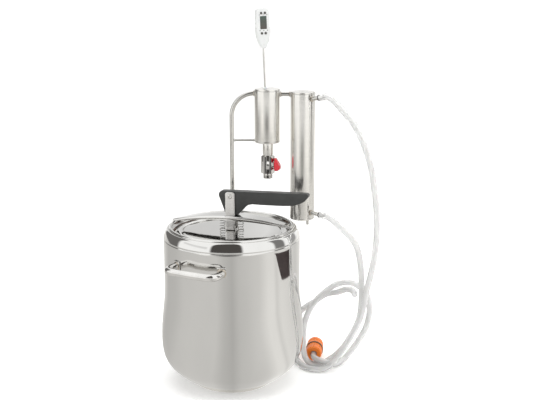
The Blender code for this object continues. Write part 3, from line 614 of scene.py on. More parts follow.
def lid():
    flange = 0.3034
    top = [(0, LID_TOP), (0.030, LID_TOP), (0.070, LID_TOP - 0.00015), (0.0925, LID_TOP - 0.0004)]
    groove = [(0.0940, LID_TOP - 0.0006), (0.0955, LID_TOP - 0.0016), (0.0985, LID_TOP - 0.0018),
              (0.1005, LID_TOP - 0.0008)]
    rim = [(0.1045, LID_TOP - 0.0004), (0.1080, LID_TOP - 0.0008), (0.1104, LID_TOP - 0.0021),
           (0.1113, LID_TOP - 0.0040), (0.1113, flange), (0.1178, flange)]
    outer = top + fillet([top[-1], *groove, rim[0]], 0.0012, 4)[1:-1] + fillet(rim, 0.001, 4)
    under = [(0.1178, flange - 0.0012), (0.1101, flange - 0.0012), (0.1101, LID_TOP - 0.0044),
             (0.1092, LID_TOP - 0.0032), (0.1070, LID_TOP - 0.0021), (0.1005, LID_TOP - 0.0021),
             (0.0985, LID_TOP - 0.0030), (0.0955, LID_TOP - 0.0028), (0.0925, LID_TOP - 0.0017),
             (0.070, LID_TOP - 0.00135), (0, LID_TOP - 0.0012)]
    cover = piece("lid_disc", lathe(outer + under, 192), POLISHED, "root", ("lid",))
    carve(cover, rod(0.29, 0.32, 0.0043, 32), rod(0.29, 0.32, 0.0071, 40, y=COLUMN_Y))
    seal = [(0.1117, 0.3037), (0.1117, 0.3063), (0.1135, 0.3064), (0.1176, 0.3063), (0.1176, 0.3037)]
    piece("lid_seal", ring(seal, 0.0006, 160, 4), GASKET, "root", ("lid_gasket",))


def bar_section(u):
    """The crossbar's half width, top and depth, at a distance along it."""
    share = 1 - (u / BAR_HALF) ** 2
    return 0.007 + 0.013 * share, 0.3224 + 0.0161 * share, 0.0042 + 0.0038 * share


def crossbar():
    """A pressed channel of 2 mm steel, its rims rounded, with two slots for the yoke."""
    rows, sheet = 61, 0.002
    verts, faces = [], []
    for i in range(rows):
        u = BAR_HALF * (2 * i / (rows - 1) - 1)
        half, top, deep = bar_section(u)
        corner = (half - 0.003, top - 0.003)
        right = [(0, top), (half * 0.5, top), *arc(corner, (0.003, 0.003), 90, 0, 8),
                 *arc((half - sheet / 2, top - deep + 0.0006), (sheet / 2, 0.0006), 0, -180, 7),
                 *arc(corner, (0.001, 0.001), 0, 90, 5), (half * 0.5, top - sheet), (0, top - sheet)]
        loop = right + [(-v, z) for v, z in reversed(right[1:-1])]
        verts += [(u, v, z) for v, z in loop]
    size = len(loop)
    for i in range(rows - 1):
        for k in range(size):
            j = (k + 1) % size
            faces.append((i * size + k, i * size + j, (i + 1) * size + j, (i + 1) * size + k))
    faces += [tuple(range(size)), tuple(range(size * (rows - 1), size * rows))]
    bar = piece("crossbar_channel", (verts, faces), POLISHED, "crossbar",
                ("crossbar",), CLAMP)
    # The faces inside the channel, under the bar, take the dark steel: painted shade, not the steel's own
    # colour.
    bar.data.materials.append(UNDERSIDE_SHADE_STEEL)
    shaded_underside = range(16, size - 15)
    for polygon in bar.data.polygons:
        if polygon.index < size * (rows - 1) and polygon.index % size in shaded_underside:
            polygon.material_index = 1
    carve(bar, *[moved(block((0.021, 0.0034, 0.03), (0, sign * 0.010, 0.3385)), CLAMP)
                 for sign in (1, -1)])


def yoke():
    """A strap bent into a U, standing on the lid, its two ears rounded over the lever's pin."""
    low, sheet, curl = LID_TOP + GAP + 0.001, 0.002, 0.003
    ear = arc((0.0045, YOKE_TOP - 0.005), (0.005, 0.005), 0, 90, 6)
    heights = [low + 0.004, PIN_Z - 0.02, PIN_Z - 0.004, *[z for _, z in ear]]
    widths = [0.0095, 0.0095, 0.0093, *[x for x, _ in ear]]
    leg = list(zip(heights, widths))
    curve = arc((0.010 - curl, low + curl), (curl, curl), 0, -90, 6)
    path = [(0.010, z, w) for z, w in reversed(leg)]
    path += [(y, z, 0.0095) for y, z in curve] + [(0.0, low, 0.0095)]
    path += [(-y, z, w) for y, z, w in reversed(path[:-1])]
    across = 7
    verts = []
    for y, z, width in path:
        verts += [(width * (2 * k / (across - 1) - 1), y, z) for k in range(across)]
    faces = [(i * across + k, i * across + k + 1, (i + 1) * across + k + 1, (i + 1) * across + k)
             for i in range(len(path) - 1) for k in range(across - 1)]
    mesh = outward_mesh("yoke_strap", (verts, faces))
    mesh.transform(CLAMP)
    mesh.materials.append(SATIN)
    strap = in_scene("yoke_strap", mesh)
    thick = strap.modifiers.new("sheet", "SOLIDIFY")
    thick.thickness = sheet
    thick.offset = 0
    edge = strap.modifiers.new("edge", "BEVEL")
    edge.width = 0.0004
    edge.segments = 2
    edge.limit_method = "ANGLE"
    edge.angle_limit = math.radians(50)
    mesh.shade_smooth()
    attach(strap, "root", ("yoke",))
    head = LID_TOP + GAP + 0.002 + GAP
    bolt = fillet([(0, head + 0.004), (0.0062, head + 0.004), (0.0077, head + 0.0033), (0.0077, head)],
                  0.0004, 2) + [(0.004, head), (0.004, 0.2965), (0, 0.2965)]
    piece("yoke_bolt_head", lathe(bolt, 96, hexed(0.013)), BRIGHT, "root",
          ("yoke_bolt",))
    hex_nut("yoke_bolt_nut", 0.013, 0.2998, LID_TOP - 0.0018, 0.0043, "yoke_nut", Matrix())


def hex_nut(name, flats, low, high, bore, replaced, place):
    """A hexagon nut with both faces chamfered."""
    corner = flats / math.sqrt(3)
    cut = corner - flats / 2
    profile = [(bore, low), (flats / 2 * 0.97, low), (corner, low + cut * 0.55),
               (corner, high - cut * 0.55), (flats / 2 * 0.97, high), (bore + 0.0004, high),
               (bore, high - 0.0004)]
    piece(name, lathe(profile, 96, hexed(flats), closed=True), BRIGHT, "root",
          (replaced,), place)


def pin_and_lever():
    head = 0.0113
    half = fillet([(0, head + 0.0011), (0.0012, head + 0.0012), (0.0024, head + 0.0019),
                   (0.0040, head + 0.0016), (0.0045, head + 0.0006), (0.0045, head)], 0.0004, 3)
    profile = half + [(0.003, head)] + [(0.003, -head)] + [(r, -z) for r, z in reversed(half)]
    place = CLAMP @ along((0, 0, PIN_Z), (0, 1, 0))
    piece("pin_rivet", lathe(profile, 48), BRIGHT, "root", ("pivot_pin",), place)
    cam = PIN_Z - 0.3385 - GAP
    outline = []
    for degrees in (16, 12, 8, 4, 0):
        radius = cam - degrees * 0.004 / 100
        angle = math.radians(-90 - degrees)
        outline.append((radius * math.cos(angle), radius * math.sin(angle)))
    outline += [(0.0125, 0.0005 - cam), (0.0165, -0.0345), (0.0290, -0.0210), (0.0355, -0.0155),
                (0.0440, -0.0133), (0.0620, -0.0135), (0.0800, -0.0133), (0.1000, -0.0131),
                (0.1180, -0.0124), (0.1290, -0.0106), (0.1385, -0.0072), (0.1470, -0.0020),
                (0.1530, 0.0055), (0.1543, 0.0100), (0.1515, 0.0124), (0.1400, 0.0124),
                (0.1000, 0.0117), (0.0600, 0.0108), (0.0200, 0.0104), (-0.0165, 0.0100),
                (-0.0205, 0.0086), (-0.0232, 0.0050), (-0.0236, 0.0005)]
    outline = fillet(outline, 0.0035, 4, closed=True, sharpest=165)
    place = CLAMP @ at(0, 0, PIN_Z) @ STAND
    grip = piece("lever_moulding", slab(outline, -0.0083, 0.0083, 0.0016, 4), BLACK, "clamp_lever",
                 ("clamp_lever",), place)
    carve(grip, moved(rod(-0.02, 0.02, 0.0033, 40), place))


def springs():
    low, high, per_turn, turns = LID_TOP + 0.0010, 0.3345, 24, 6
    count = per_turn * turns
    for side, sign in (("left", -1), ("right", 1)):
        points = []
        for i in range(count + 1):
            angle = 2 * math.pi * i / per_turn
            share = min(1, max(0, (i / count - 0.08) / 0.84))
            points.append((sign * 0.019 + 0.005 * math.cos(angle), 0.005 * math.sin(angle),
                           low + (high - low) * share + 0.0004 * (i / count - 0.5)))
        coil = piece(f"spring_{side}", sweep(points, 0.0006, 10), BRIGHT, None,
                     (f"lift_spring_{side}",), CLAMP)
        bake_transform(coil)


# Column, valve and thermometer

def column():
    place = at(0, COLUMN_Y)
    seat = LID_TOP + 0.0002
    washer = [(0.0074, seat), (0.0115, seat), (0.0115, seat + 0.0015), (0.0074, seat + 0.0015)]
    piece("spigot_seal", ring(washer, 0.0004, 64), SILICONE, "root",
          ("spigot_washer",), place)
    flange = seat + 0.0018
    thread = []
    for i in range(11):
        z = flange + 0.0030 + i * 0.0010
        thread += [(0.0068, z), (0.0064, z + 0.0005)]
    stem = [(0.0019, 0.2960), (0.0066, 0.2960), (0.0068, 0.2964), (0.0068, flange), (0.0110, flange),
            (0.0110, flange + 0.0022), (0.0107, flange + 0.0025), (0.0068, flange + 0.0025), *thread,
            (0.0066, 0.3240), (0.0019, 0.3240)]
    piece("spigot_stem", lathe(stem, 64, closed=True), BRIGHT, "root", ("spigot",),
          place)
    hex_nut("spigot_back_nut", 0.020, 0.3000, LID_TOP - 0.0018, 0.0071, "spigot_nut", place)
    low, high, flats = flange + 0.0031, 0.3310, 0.022
    corner, skirt = flats / math.sqrt(3), 0.0071
    union = [(skirt, low), (flats / 2 * 0.97, low), (corner, low + 0.0009), (corner, high - 0.0055),
             (flats / 2 * 0.99, high - 0.0044), (0.0088, high - 0.0036), (0.0080, high - 0.0004),
             (0.0076, high), (PIPE_R + GAP, high), (PIPE_R + GAP, 0.3276), (skirt, 0.3272)]
    piece("union_nut_body", lathe(union, 96, hexed(flats), closed=True), BRIGHT, "union_nut",
          ("union_nut",), place)
    elbow = arc((PIPE_BEND, PIPE_TOP - PIPE_BEND), (PIPE_BEND, PIPE_BEND), 180, 90, 28)
    end = STEAMER[0] - STEAMER[1] - GAP
    rise = [(0, COLUMN_Y, 0.3244 + (PIPE_TOP - PIPE_BEND - 0.3244) * i / 6) for i in range(6)]
    path = [*rise, *[(x, COLUMN_Y, z) for x, z in elbow], (end, COLUMN_Y, PIPE_TOP)]
    piece("vapour_tube", sweep(path, PIPE_R, 40), PIPE, "root", ("vapour_pipe",))
    brace = [(PIPE_R + GAP + (end - PIPE_R - GAP) * i / 8, COLUMN_Y, BRACE_Z) for i in range(9)]
    radii = [0.0028, 0.0020, *[0.0019] * 5, 0.0020, 0.0026]
    piece("brace", sweep(brace, radii, 20), PIPE, "root", ("brace_rod",))
    for name, (x, radius, low, high) in (("steamer", STEAMER), ("condenser", CONDENSER)):
        capped_tube(name, at(x, COLUMN_Y), radius, low, high)
    left, right = STEAMER[0] + STEAMER[1] + GAP, CONDENSER[0] - CONDENSER[1] - GAP
    path = [(left + (right - left) * i / 8, COLUMN_Y, LINK_Z) for i in range(9)]
    piece("link_tube", sweep(path, 0.004, 32), PIPE, "root", ("link_pipe",))
    for name, spot, way, radius in (
            ("steamer_in", (end - 0.0001, COLUMN_Y, PIPE_TOP), (-1, 0, 0), PIPE_R),
            ("steamer_out", (left + 0.0001, COLUMN_Y, LINK_Z), (1, 0, 0), 0.004),
            ("condenser_in", (right - 0.0001, COLUMN_Y, LINK_Z), (-1, 0, 0), 0.004),
            ("drain", (VALVE_X, COLUMN_Y, STEAMER[2] - 0.0002), (0, 0, -1), 0.0105)):
        weld_bead(name, along(spot, way), radius)


def weld_bead(name, place, radius):
    """The ring of weld where a tube meets a wall, its foot at the place's origin."""
    bead = [(radius + 0.00005, 0.0019), (radius + 0.0006, 0.0015), (radius + 0.0013, 0.0007),
            (radius + 0.0017, 0.0001), (radius + 0.00005, 0.0001)]
    bead = lathe(bead, 48, rippled(15, 0.00018, radius + 0.0003), closed=True)
    piece(f"weld_{name}", bead, WELD, "root", (), place)


def capped_tube(name, place, radius, low, high):
    """A brushed jacket with a pressed cap let into each end, and the weld line between them."""
    cap, sheet = 0.0035, 0.0012
    top, bottom = high - cap, low + cap
    wall = [(radius - sheet, bottom + GAP), (radius, bottom + GAP), (radius, top - GAP),
            (radius - sheet, top - GAP)]
    piece(f"{name}_tube", ring(wall, 0.00025, 128), BRUSHED, "root",
          (f"{name}_jacket",), place)
    edge = 0.0022
    dome = [(0, cap), (radius * 0.4, cap), (radius * 0.75, cap - 0.00005),
            *arc((radius - edge, cap - edge), (edge, edge), 90, 0, 12), (radius, 0.0004),
            (radius - 0.0004, 0), (0, 0)]
    flip = Matrix.Rotation(math.pi, 4, "X")
    upper = piece(f"{name}_lid", lathe(dome, 128), BRUSHED, "root",
                  (f"{name}_cap_top",), place @ at(0, 0, top))
    lower = piece(f"{name}_floor", lathe(dome, 128), BRUSHED, "root",
                  (f"{name}_cap_bottom",), place @ at(0, 0, bottom) @ flip)
    if name == "steamer":
        carve(upper, moved(rod(-0.02, 0.02, 0.003, 32), THERMO))
        carve(lower, rod(low - 0.01, low + 0.01, 0.005, 40, VALVE_X, COLUMN_Y))
    for tag, z in (("top", top), ("bottom", bottom)):
        seam = [(radius - 0.0004, z + 0.0007), (radius + 0.0001, z + 0.0005), (radius + 0.0003, z),
                (radius + 0.0001, z - 0.0005), (radius - 0.0004, z - 0.0007)]
        seam = lathe(seam, 192, rippled(71, 0.00007, radius), closed=True)
        piece(f"{name}_seam_{tag}", seam, PIPE, "root", (), place)


def small_fittings():
    bung = [(PROBE_CLEAR, 0.0020), (0.0038, 0.0024), (0.0042, 0.0016), (0.0042, GAP), (0.0026, GAP),
            (0.0026, -0.0030), (PROBE_CLEAR, -0.0030)]
    piece("bung", ring(bung, 0.0003, 40), SILICONE, "root", ("probe_bung",), THERMO)
    spout = [(0.0018, 0.3187), (0.00275, 0.3187), (0.00275, 0.3105), (0.0025, 0.3090), (0.0022, 0.3085),
             (0.0018, 0.3087)]
    piece("product_spout", lathe(spout, 40, closed=True), PIPE, "root",
          ("product_outlet",), at(0.149, 0.035))
    weld_bead("spout", along((0.149, 0.035, 0.3188), (0, 0, -1)), 0.00275)
    low, high, turns, per_turn, reach = 0.332, 0.556, 10, 24, 0.0155
    count = turns * per_turn
    coil = [(CONDENSER[0] + reach * math.cos(2 * math.pi * i / per_turn),
             COLUMN_Y + reach * math.sin(2 * math.pi * i / per_turn), low + (high - low) * i / count)
            for i in range(count + 1)]
    piece("coil", sweep(coil, 0.003, 14), PIPE, "root", ("condenser_coil",))
    core = fillet([(0, 0.0016), (BASE_R - 0.0014, 0.0016), (BASE_R - 0.0014, 0.0060), (0, 0.0060)],
                  0.0004)
    piece("base_disc", lathe(core, 96), CORE, "root", ("base_core",))


def nipples():
    """The hose spigots: a plain root, two barbs under the hose, and a dark rim at the hose's end."""
    out = Vector((1, -1, 0)).normalized()
    axis = Vector((CONDENSER[0], COLUMN_Y, 0))
    for name, height, route in (("outlet", 0.560, OUTLET_ROUTE), ("inlet", 0.3345, INLET_ROUTE)):
        start = axis + out * (CONDENSER[1] + 0.0008) + Vector((0, 0, height))
        way = Vector(route[0]) - start
        length = way.length - GAP
        root = [(0.0026, 0), (0.0040, 0), (0.0040, length - 0.0085), (0.00375, length - 0.0078),
                (0.00375, length - 0.0062), (0.00405, length - 0.0060), (0.00375, length - 0.0033),
                (0.00405, length - 0.0031), (0.0036, length - 0.0004), (0.0034, length), (0.0026, length)]
        place = along(start, way)
        piece(f"nipple_{name}_body", lathe(root, 48, closed=True), PIPE, "root",
              (f"nipple_{name}",), place)
        collar = [(0.0042, length - 0.0122), (0.0060, length - 0.0122), (0.0060, length - 0.0100),
                  (0.0042, length - 0.0100)]
        piece(f"nipple_{name}_collar", ring(collar, 0.0004, 40), DARK_RING_STEEL, "root",
              (), place)
        weld_bead(f"nipple_{name}", place @ at(0, 0, -0.0006), 0.004)


def valve():
    """A small ball valve: a hexagon body, a threaded outlet and a red wing handle on its stem."""
    place = at(VALVE_X, COLUMN_Y)
    middle = Vector((VALVE_X, COLUMN_Y, VALVE_MID))
    out = Vector((math.cos(STEM_TURN), math.sin(STEM_TURN), 0))
    across = along(middle, out)
    neck_top = STEAMER[2] - GAP
    neck = [(0.005, 0.4469), (0.0097, 0.4469), (0.0099, 0.4490), (0.0105, 0.4510), (0.0105, neck_top),
            (0.005, neck_top)]
    piece("drain_tube", ring(neck, 0.0006, 96), BRUSHED, "root", ("drain_neck",),
          place)
    flats, corner, low, high = 0.0234, 0.0135, 0.4105, 0.4466
    shell = [(0.005, low), (0.0108, low), (corner, low + 0.0013), (corner, high - 0.0013),
             (0.0108, high), (0.005, high)]
    body = piece("valve_shell", lathe(shell, 96, hexed(flats), closed=True), CHROMED, "root",
                 ("valve_body",), place)
    chamber = lathe(arc((0, 0), (0.0086, 0.0086), 90, -90, 25), 48)
    carve(body, moved(chamber, Matrix.Translation(middle)), moved(rod(0, 0.02, 0.0043, 32), across))
    boss = [(0.0043, 0.0085), (0.0070, 0.0085), (0.0070, 0.0137), (0.0043, 0.0137)]
    piece("valve_gland", ring(boss, 0.0005, 48), BRIGHT, "root", (), across)
    ball = arc((0, 0), (0.0083, 0.0083), 90, -90, 33)
    ball = piece("valve_ball_body", lathe(ball, 64), POLISHED, "valve_handle",
                 ("valve_ball",), Matrix.Translation(middle))
    carve(ball, rod(0.40, 0.46, 0.0044, 32, VALVE_X, COLUMN_Y))
    stem = fillet([(0, 0.0086), (0.004, 0.0086), (0.004, 0.0205), (0.0034, 0.0212), (0, 0.0212)],
                  0.0003, 2)
    piece("valve_stem_rod", lathe(stem, 40), BRIGHT, "valve_handle", ("valve_stem",),
          across)
    thread = [(0.0093, 0.4102), (0.0093, 0.4085)]
    for i in range(7):
        z = 0.4080 - i * 0.0009
        thread += [(0.0087, z), (0.0093, z - 0.00045)]
    outlet = [(0.005, 0.4102), *thread, (0.0088, 0.4014), (0.0085, 0.4010), (0.0056, 0.4010),
              (0.005, 0.4016)]
    piece("valve_spout", lathe(outlet, 80, closed=True), CHROMED, "root",
          ("valve_outlet",), place)
    outline = [(0.0141, 0.0132), (0.0141, -0.0104), (0.0165, -0.0118), (0.0212, -0.0114),
               (0.0247, -0.0088), (0.0259, -0.0046), (0.0247, -0.0006), (0.0190, 0.0098), (0.0160, 0.0137)]
    outline = fillet(outline, 0.002, 4, closed=True, sharpest=170)
    upright = Matrix.Rotation(STEM_TURN, 4, "Z") @ STAND
    wing = piece("valve_wing", slab(outline, -0.0060, 0.0060, 0.0018, 4), RED, "valve_handle",
                 ("valve_handle",), Matrix.Translation(middle) @ upright)
    carve(wing, moved(rod(0.010, 0.0214, 0.0043, 40), across))
    screw = fillet([(0, 0.0229), (0.0026, 0.0228), (0.0034, 0.0222), (0.0034, 0.0213), (0, 0.0213)],
                   0.0003, 2)
    piece("valve_screw", lathe(screw, 24), DARK, "valve_handle", (), across)


def case_outline(shrink):
    half = inset(CASE[::-1], shrink)[::-1]
    return half + [(-x, z) for x, z in reversed(half)]


def thermometer():
    """A probe thermometer: two half shells, a sunk screen, four soft buttons and a thin probe."""
    body = "thermometer"
    probe = [(0, 0.0775), (0.0016, 0.0775), (0.0016, -0.0660), (0.0013, -0.0676), (0.0005, -0.0722),
             (0, -0.0725)]
    piece("probe", lathe(probe, 32), BRIGHT, body, ("thermometer_probe",), THERMO)
    face = THERMO @ STAND
    outline = fillet(case_outline(0.00005), 0.004, 4, closed=True, sharpest=176)
    inner = fillet(case_outline(0.0015), 0.003, 3, closed=True, sharpest=176)
    deep, seam = 0.007, 0.00015
    front = piece("case_front", slab_domed(outline, seam, deep, 0.0026), WHITE, body,
                  ("thermometer_front",), face)
    back = piece("case_back", slab_domed(outline, -seam, -deep, 0.0026), WHITE, body,
                 ("thermometer_back",), face)
    middle = 0.1262
    window = [(0.0067, 0.01225), (-0.0067, 0.01225), (-0.0067, -0.01225), (0.0067, -0.01225)]
    window = [(x, z + middle) for x, z in fillet(window, 0.0007, 3, closed=True)]
    hollow = moved(slab(inner, 0.0, deep - 0.0015, 0.0008), face)
    carve(front, hollow, moved(slab(window, 0.004, 0.009, 0.0001, 1), face))
    carve(back, moved(slab(inner, -(deep - 0.0015), 0.0, 0.0008), face))
    pane = [(x * 0.955, middle + (z - middle) * 0.975) for x, z in window]
    piece("screen", slab(pane, 0.0054, 0.0066, 0.00015, 2), LCD, body, ("display",), face)
    board = [(-0.0105, middle - 0.018), (0.0105, middle - 0.018), (0.0105, middle + 0.018),
             (-0.0105, middle + 0.018)]
    piece("board", slab(fillet(board, 0.001, 3, closed=True), 0.0025, 0.0035, 0.0001, 1), BOARD, body,
          ("circuit_board",), face)
    for name, x, z in (("button_power", -0.0038, 0.1440), ("button_hold", 0.0038, 0.1440),
                       ("button_max_min", -0.0038, 0.1062), ("button_units", 0.0038, 0.1062)):
        spot = THERMO @ along((x, 0, z), (0, -1, 0))
        cap = [(0, deep + 0.0005), *arc((0.0017, deep + 0.0001), (0.0006, 0.0006), 90, 0, 6),
               (0.0023, 0.0042), (0, 0.0042)]
        cap = [(0, deep + 0.0007), (0.0008, deep + 0.0007)] + cap[1:]
        piece(name + "_cap", lathe(cap, 32), BUTTON, name, (name,), spot)
        carve(front, moved(rod(0.004, 0.010, 0.0026, 28), spot))
    cover = THERMO @ along((0, 0, 0.125), (0, 1, 0))
    carve(back, moved(rod(0.003, 0.010, 0.0075, 48), cover))
    lid_profile = fillet([(0, deep - 0.0001), (0.0072, deep - 0.0001), (0.0072, deep - 0.0014),
                          (0, deep - 0.0014)], 0.0002, 2)
    door = piece("battery_door", lathe(lid_profile, 64), WHITE, body,
                 ("battery_cover",), cover)
    carve(door, moved(block((0.0090, 0.0012, 0.0012), (0, 0, deep)), cover))
    cell = fillet([(0, 0.0052), (0.0054, 0.0052), (0.0058, 0.0048), (0.0058, 0.0003), (0, 0.0003)],
                  0.0003, 2)
    piece("battery", lathe(cell, 48), BRIGHT, body, ("battery_cell",), cover)
    marks(face, deep, middle)


def marks(face, deep, middle):
    """Raised print: plain bars over and under the screen, and three digits on it."""
    level = deep + 0.00002
    shapes = []
    for x in (-0.0075, 0.0, 0.0075):
        for sign in (1, -1):
            for width, rise in ((0.0030, 0.0142), (0.0018, 0.0142 + 0.0012)):
                shapes.append(block((width, 0.0007, 0.00012), (x, middle + sign * rise, level)))
    piece("case_marks", merge(*[moved(s, face) for s in shapes]), PRINT, "thermometer")
    bars = {"0": "abcdef", "7": "abc", "8": "abcdefg"}
    spots = {"a": (0, 1, 0), "b": (1, 0.5, 1), "c": (1, -0.5, 1), "d": (0, -1, 0), "e": (-1, -0.5, 1),
             "f": (-1, 0.5, 1), "g": (0, 0, 0)}
    shapes = []
    for k, digit in enumerate("780"):
        for bar in bars[digit]:
            dx, dz, upright = spots[bar]
            size = (0.00035, 0.0030, 0.00006) if upright else (0.0018, 0.00035, 0.00006)
            spot = (-0.0037 + k * 0.0037 + dx * 0.0011, middle + 0.001 + dz * 0.0034, 0.00664)
            shapes.append(block(size, spot))
    piece("screen_digits", merge(*[moved(s, face) for s in shapes]), DARK, "thermometer")


def slab_domed(outline, flat, crown, reach):
    """An outline raised from one height to another, its far rim rolled over in steps."""
    sign = 1 if crown > flat else -1
    centre = (sum(x for x, _ in outline) / len(outline), sum(z for _, z in outline) / len(outline))
    closed = [outline[-1], *outline, outline[0]]
    rings = [(0.0, flat)]
    for k in range(7):
        angle = math.radians(90 * k / 6)
        rings.append((reach * (1 - math.cos(angle)), crown - sign * reach * (1 - math.sin(angle))))
    verts, faces = [], []
    for shrink, height in rings:
        for i, (x, z) in enumerate(outline):
            way = (Vector(closed[i + 2]) - Vector(closed[i])).normalized()
            side = Vector((way.y, -way.x))
            if side.dot(Vector((x - centre[0], z - centre[1]))) < 0:
                side.negate()
            verts.append((x - side.x * shrink, z - side.y * shrink, height))
    count = len(outline)
    for row in range(len(rings) - 1):
        for k in range(count):
            j = (k + 1) % count
            faces.append((row * count + k, row * count + j, (row + 1) * count + j,
                          (row + 1) * count + k))
    faces += [tuple(range(count)), tuple(range(count * (len(rings) - 1), count * len(rings)))]
    return verts, faces


def connector():
    """A snap connector for a tap: a ribbed nut, a dark ring, a waisted body and a sliding collar."""
    place, bore = along(CONNECTOR_FACE, CONNECTOR_AXIS), 0.0073
    nut = [(bore, 0), (0.0142, 0), (0.0164, 0.0040), (0.0167, 0.0100), (0.0172, 0.0240), (bore, 0.0240)]
    nut = dense(fillet(nut, 0.0008, 4, closed=True), 0.0016)
    nut = lathe(nut, 144, ribbed(18, 0.0012, 0.0052, 0.0226, 0.6), closed=True)
    band = ring([(bore, 0.0243), (0.0183, 0.0243), (0.0183, 0.0283), (bore, 0.0283)], 0.0006, 96)
    body = [(0.0045, 0.0286), (0.0178, 0.0286), (0.0178, 0.0350), (0.0171, 0.0362), (0.0171, 0.0408),
            (0.0178, 0.0420), (0.0151, 0.0460), (0.0080, 0.0460), (0.0080, 0.0330), (0.0012, 0.0330),
            (0.0012, 0.0120), (0.0045, 0.0120)]
    body = dense(fillet(body, 0.0006, 3, closed=True), 0.0014)
    body = lathe(body, 144, ribbed(12, 0.0009, 0.0364, 0.0406), closed=True)
    collar = [(0.0080, 0.0463), (0.0150, 0.0463), (0.0168, 0.0480), (0.0168, 0.0560), (0.0150, 0.0580),
              (0.0080, 0.0580)]
    collar = dense(fillet(collar, 0.0006, 3, closed=True), 0.0012)
    collar = lathe(collar, 144, ribbed(24, 0.0006, 0.0486, 0.0554), closed=True)
    return [piece(f"connector_{name}", shape, material, rider, (f"connector_{stands_for}",), place)
            for name, shape, material, rider, slot, stands_for in (
                ("grip_nut", nut, ORANGE, "connector_nut", "orange_plastic", "nut"),
                ("band", band, DARK, "root", "dark_plastic", "ring"),
                ("shell", body, ORANGE, "root", "orange_plastic", "body"),
                ("slide", collar, ORANGE, "root", "orange_plastic", "collar"))]


def dense(profile, spacing):
    """The closed profile with points added so that none are further apart than the spacing."""
    found = []
    for a, b in zip(profile, profile[1:] + profile[:1]):
        a, b = Vector(a), Vector(b)
        count = max(1, math.ceil((b - a).length / spacing))
        found += [tuple(a.lerp(b, i / count)) for i in range(count)]
    return found


# Studio

def window(tree, value, low, high, soft):
    rise = remap(tree, value, (low - soft, low + soft), (0, 1), "SMOOTHSTEP")
    fall = remap(tree, value, (high - soft, high + soft), (1, 0), "SMOOTHSTEP")
    return math_node(tree, "MULTIPLY", rise, fall)


def azimuth_of(tree, x, y):
    return math_node(tree, "ARCTAN2", x, math_node(tree, "MULTIPLY", y, -1.0))


def bands_node(tree, azimuth, bands):
    """Levels of grey by azimuth from the front, from a list of (degrees, level)."""
    ramp = node(tree, "ValToRGB", {"Fac": remap(tree, azimuth, (-math.pi, math.pi), (0, 1))})
    stops = ramp.color_ramp.elements
    while len(stops) > 1:
        stops.remove(stops[-1])
    for i, (degrees, level) in enumerate(bands):
        share = (degrees + 180) / 360
        stop = stops.new(share) if i else stops[0]
        stop.position = share
        stop.color = (level, level * 0.985, level * 0.955, 1)
    return ramp.outputs["Color"]


def patch(tree, azimuth, height, card):
    """How much a card of (left, right, low, high, softness, depth) darkens a direction."""
    left, right, low, high, soft = [math.radians(v) for v in card[:5]]
    spot = math_node(tree, "MULTIPLY", window(tree, azimuth, left, right, soft),
                     window(tree, height, low, high, soft))
    return math_node(tree, "SUBTRACT", 1.0, math_node(tree, "MULTIPLY", spot, card[5]))


def studio_world():
    """A white tent with dark openings, whose lowest part is banded by azimuth."""
    world = bpy.data.worlds.new("studio")
    bpy.context.scene.world = world
    world.use_nodes = True
    tree = world.node_tree
    background = tree.nodes["Background"]
    way = node(tree, "SeparateXYZ", {"Vector": node(tree, "TexCoord").outputs["Generated"]})
    x, y, z = way.outputs
    azimuth, height = azimuth_of(tree, x, y), math_node(tree, "ARCSINE", z)
    light = None
    for card in DARK_CARDS:
        keep = patch(tree, azimuth, height, card)
        light = keep if light is None else math_node(tree, "MULTIPLY", light, keep)
    tent = node(tree, "Mix", {0: light, 6: (0.075, 0.070, 0.066, 1), 7: (1.0, 1.0, 0.995, 1)},
                data_type="RGBA").outputs[2]
    near = remap(tree, height, HORIZON_RISE, (0, 1), "SMOOTHSTEP")
    far = remap(tree, height, TENT_RISE, (0, 1), "SMOOTHSTEP")
    low = node(tree, "Mix", {0: near, 6: bands_node(tree, azimuth, COLUMN_BANDS),
                             7: bands_node(tree, azimuth, TABLE_BANDS)}, data_type="RGBA").outputs[2]
    colour = node(tree, "Mix", {0: far, 6: low, 7: tent}, data_type="RGBA").outputs[2]
    tree.links.new(colour, background.inputs["Color"])
    background.inputs["Strength"].default_value = WORLD_STRENGTH


def area_light(name, place, target, size, power):
    data = bpy.data.lights.new(name, "AREA")
    data.shape = "RECTANGLE"
    data.size, data.size_y = size
    data.energy = power
    obj = in_scene(name, data)
    way = Vector(target) - Vector(place)
    obj.matrix_world = Matrix.Translation(place) @ way.to_track_quat("-Z", "Y").to_matrix().to_4x4()
    obj.visible_glossy = False


def stage_mesh(name, verts, faces, material):
    mesh = bpy.data.meshes.new(name)
    mesh.from_pydata(verts, [], faces)
    mesh.materials.append(material)
    obj = in_scene(name, mesh)
    return obj


def only_reflected(obj):
    obj.visible_camera = obj.visible_diffuse = obj.visible_shadow = obj.visible_transmission = False


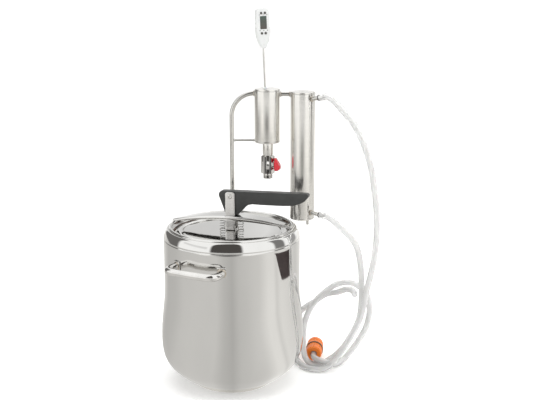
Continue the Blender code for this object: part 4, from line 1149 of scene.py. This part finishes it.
def disc(name, reach, material):
    turns = [2 * math.pi * k / 64 for k in range(64)]
    verts = [(reach * math.cos(a), reach * math.sin(a), FLOOR_Z) for a in turns]
    return stage_mesh(name, verts, [tuple(range(64))], material)


def floor():
    """A white floor and backdrop, and a banded table and a dark screen that only reflections see."""
    disc("floor", FLOOR_REACH, floor_material()).visible_glossy = False
    only_reflected(disc("table", TABLE_REACH, table_material()))
    verts = [(SCREEN_X, y, z) for y, z in SCREEN_CORNERS]
    screen = surface("screen_cloth", (0.06, 0.045, 0.045), 0.8)
    only_reflected(stage_mesh("dark_screen", verts, [(0, 1, 2, 3)], screen))
    dome = lathe(arc((0, 0), (FLOOR_REACH, FLOOR_REACH), -1, 90, 12)[:-1] + [(0, FLOOR_REACH)], 48)
    white = surface("backdrop_white", (0.9, 0.9, 0.9), 0.8, emission_color=(1.0, 1.0, 1.0, 1.0),
                    emission_strength=1.0)
    backdrop = stage_mesh("backdrop", *dome, white)
    backdrop.visible_glossy = backdrop.visible_diffuse = backdrop.visible_shadow = False


def floor_material():
    return surface("floor_white", (0.96, 0.96, 0.955), 0.6, grain=3, tint=0.004,
                   emission_color=(1.0, 1.0, 1.0, 1.0), emission_strength=FLOOR_GLOW)


def table_material():
    material = bpy.data.materials.new("table_glow")
    material.use_nodes = True
    tree = material.node_tree
    tree.nodes.remove(tree.nodes["Principled BSDF"])
    place = node(tree, "SeparateXYZ", {"Vector": node(tree, "TexCoord").outputs["Object"]})
    x, y, _ = place.outputs
    azimuth = azimuth_of(tree, x, y)
    glow = node(tree, "Emission", {"Color": bands_node(tree, azimuth, TABLE_BANDS), "Strength": 1.0})
    tree.links.new(glow.outputs[0], tree.nodes["Material Output"].inputs["Surface"])
    return material


camera()
hoses(connector())
pot()
side_handles()
lid()
crossbar()
yoke()
pin_and_lever()
springs()
column()
small_fittings()
nipples()
valve()
thermometer()
studio_world()
floor()
for lamp in LAMPS:
    area_light(*lamp)

bpy.context.scene.view_settings.view_transform = "Standard"
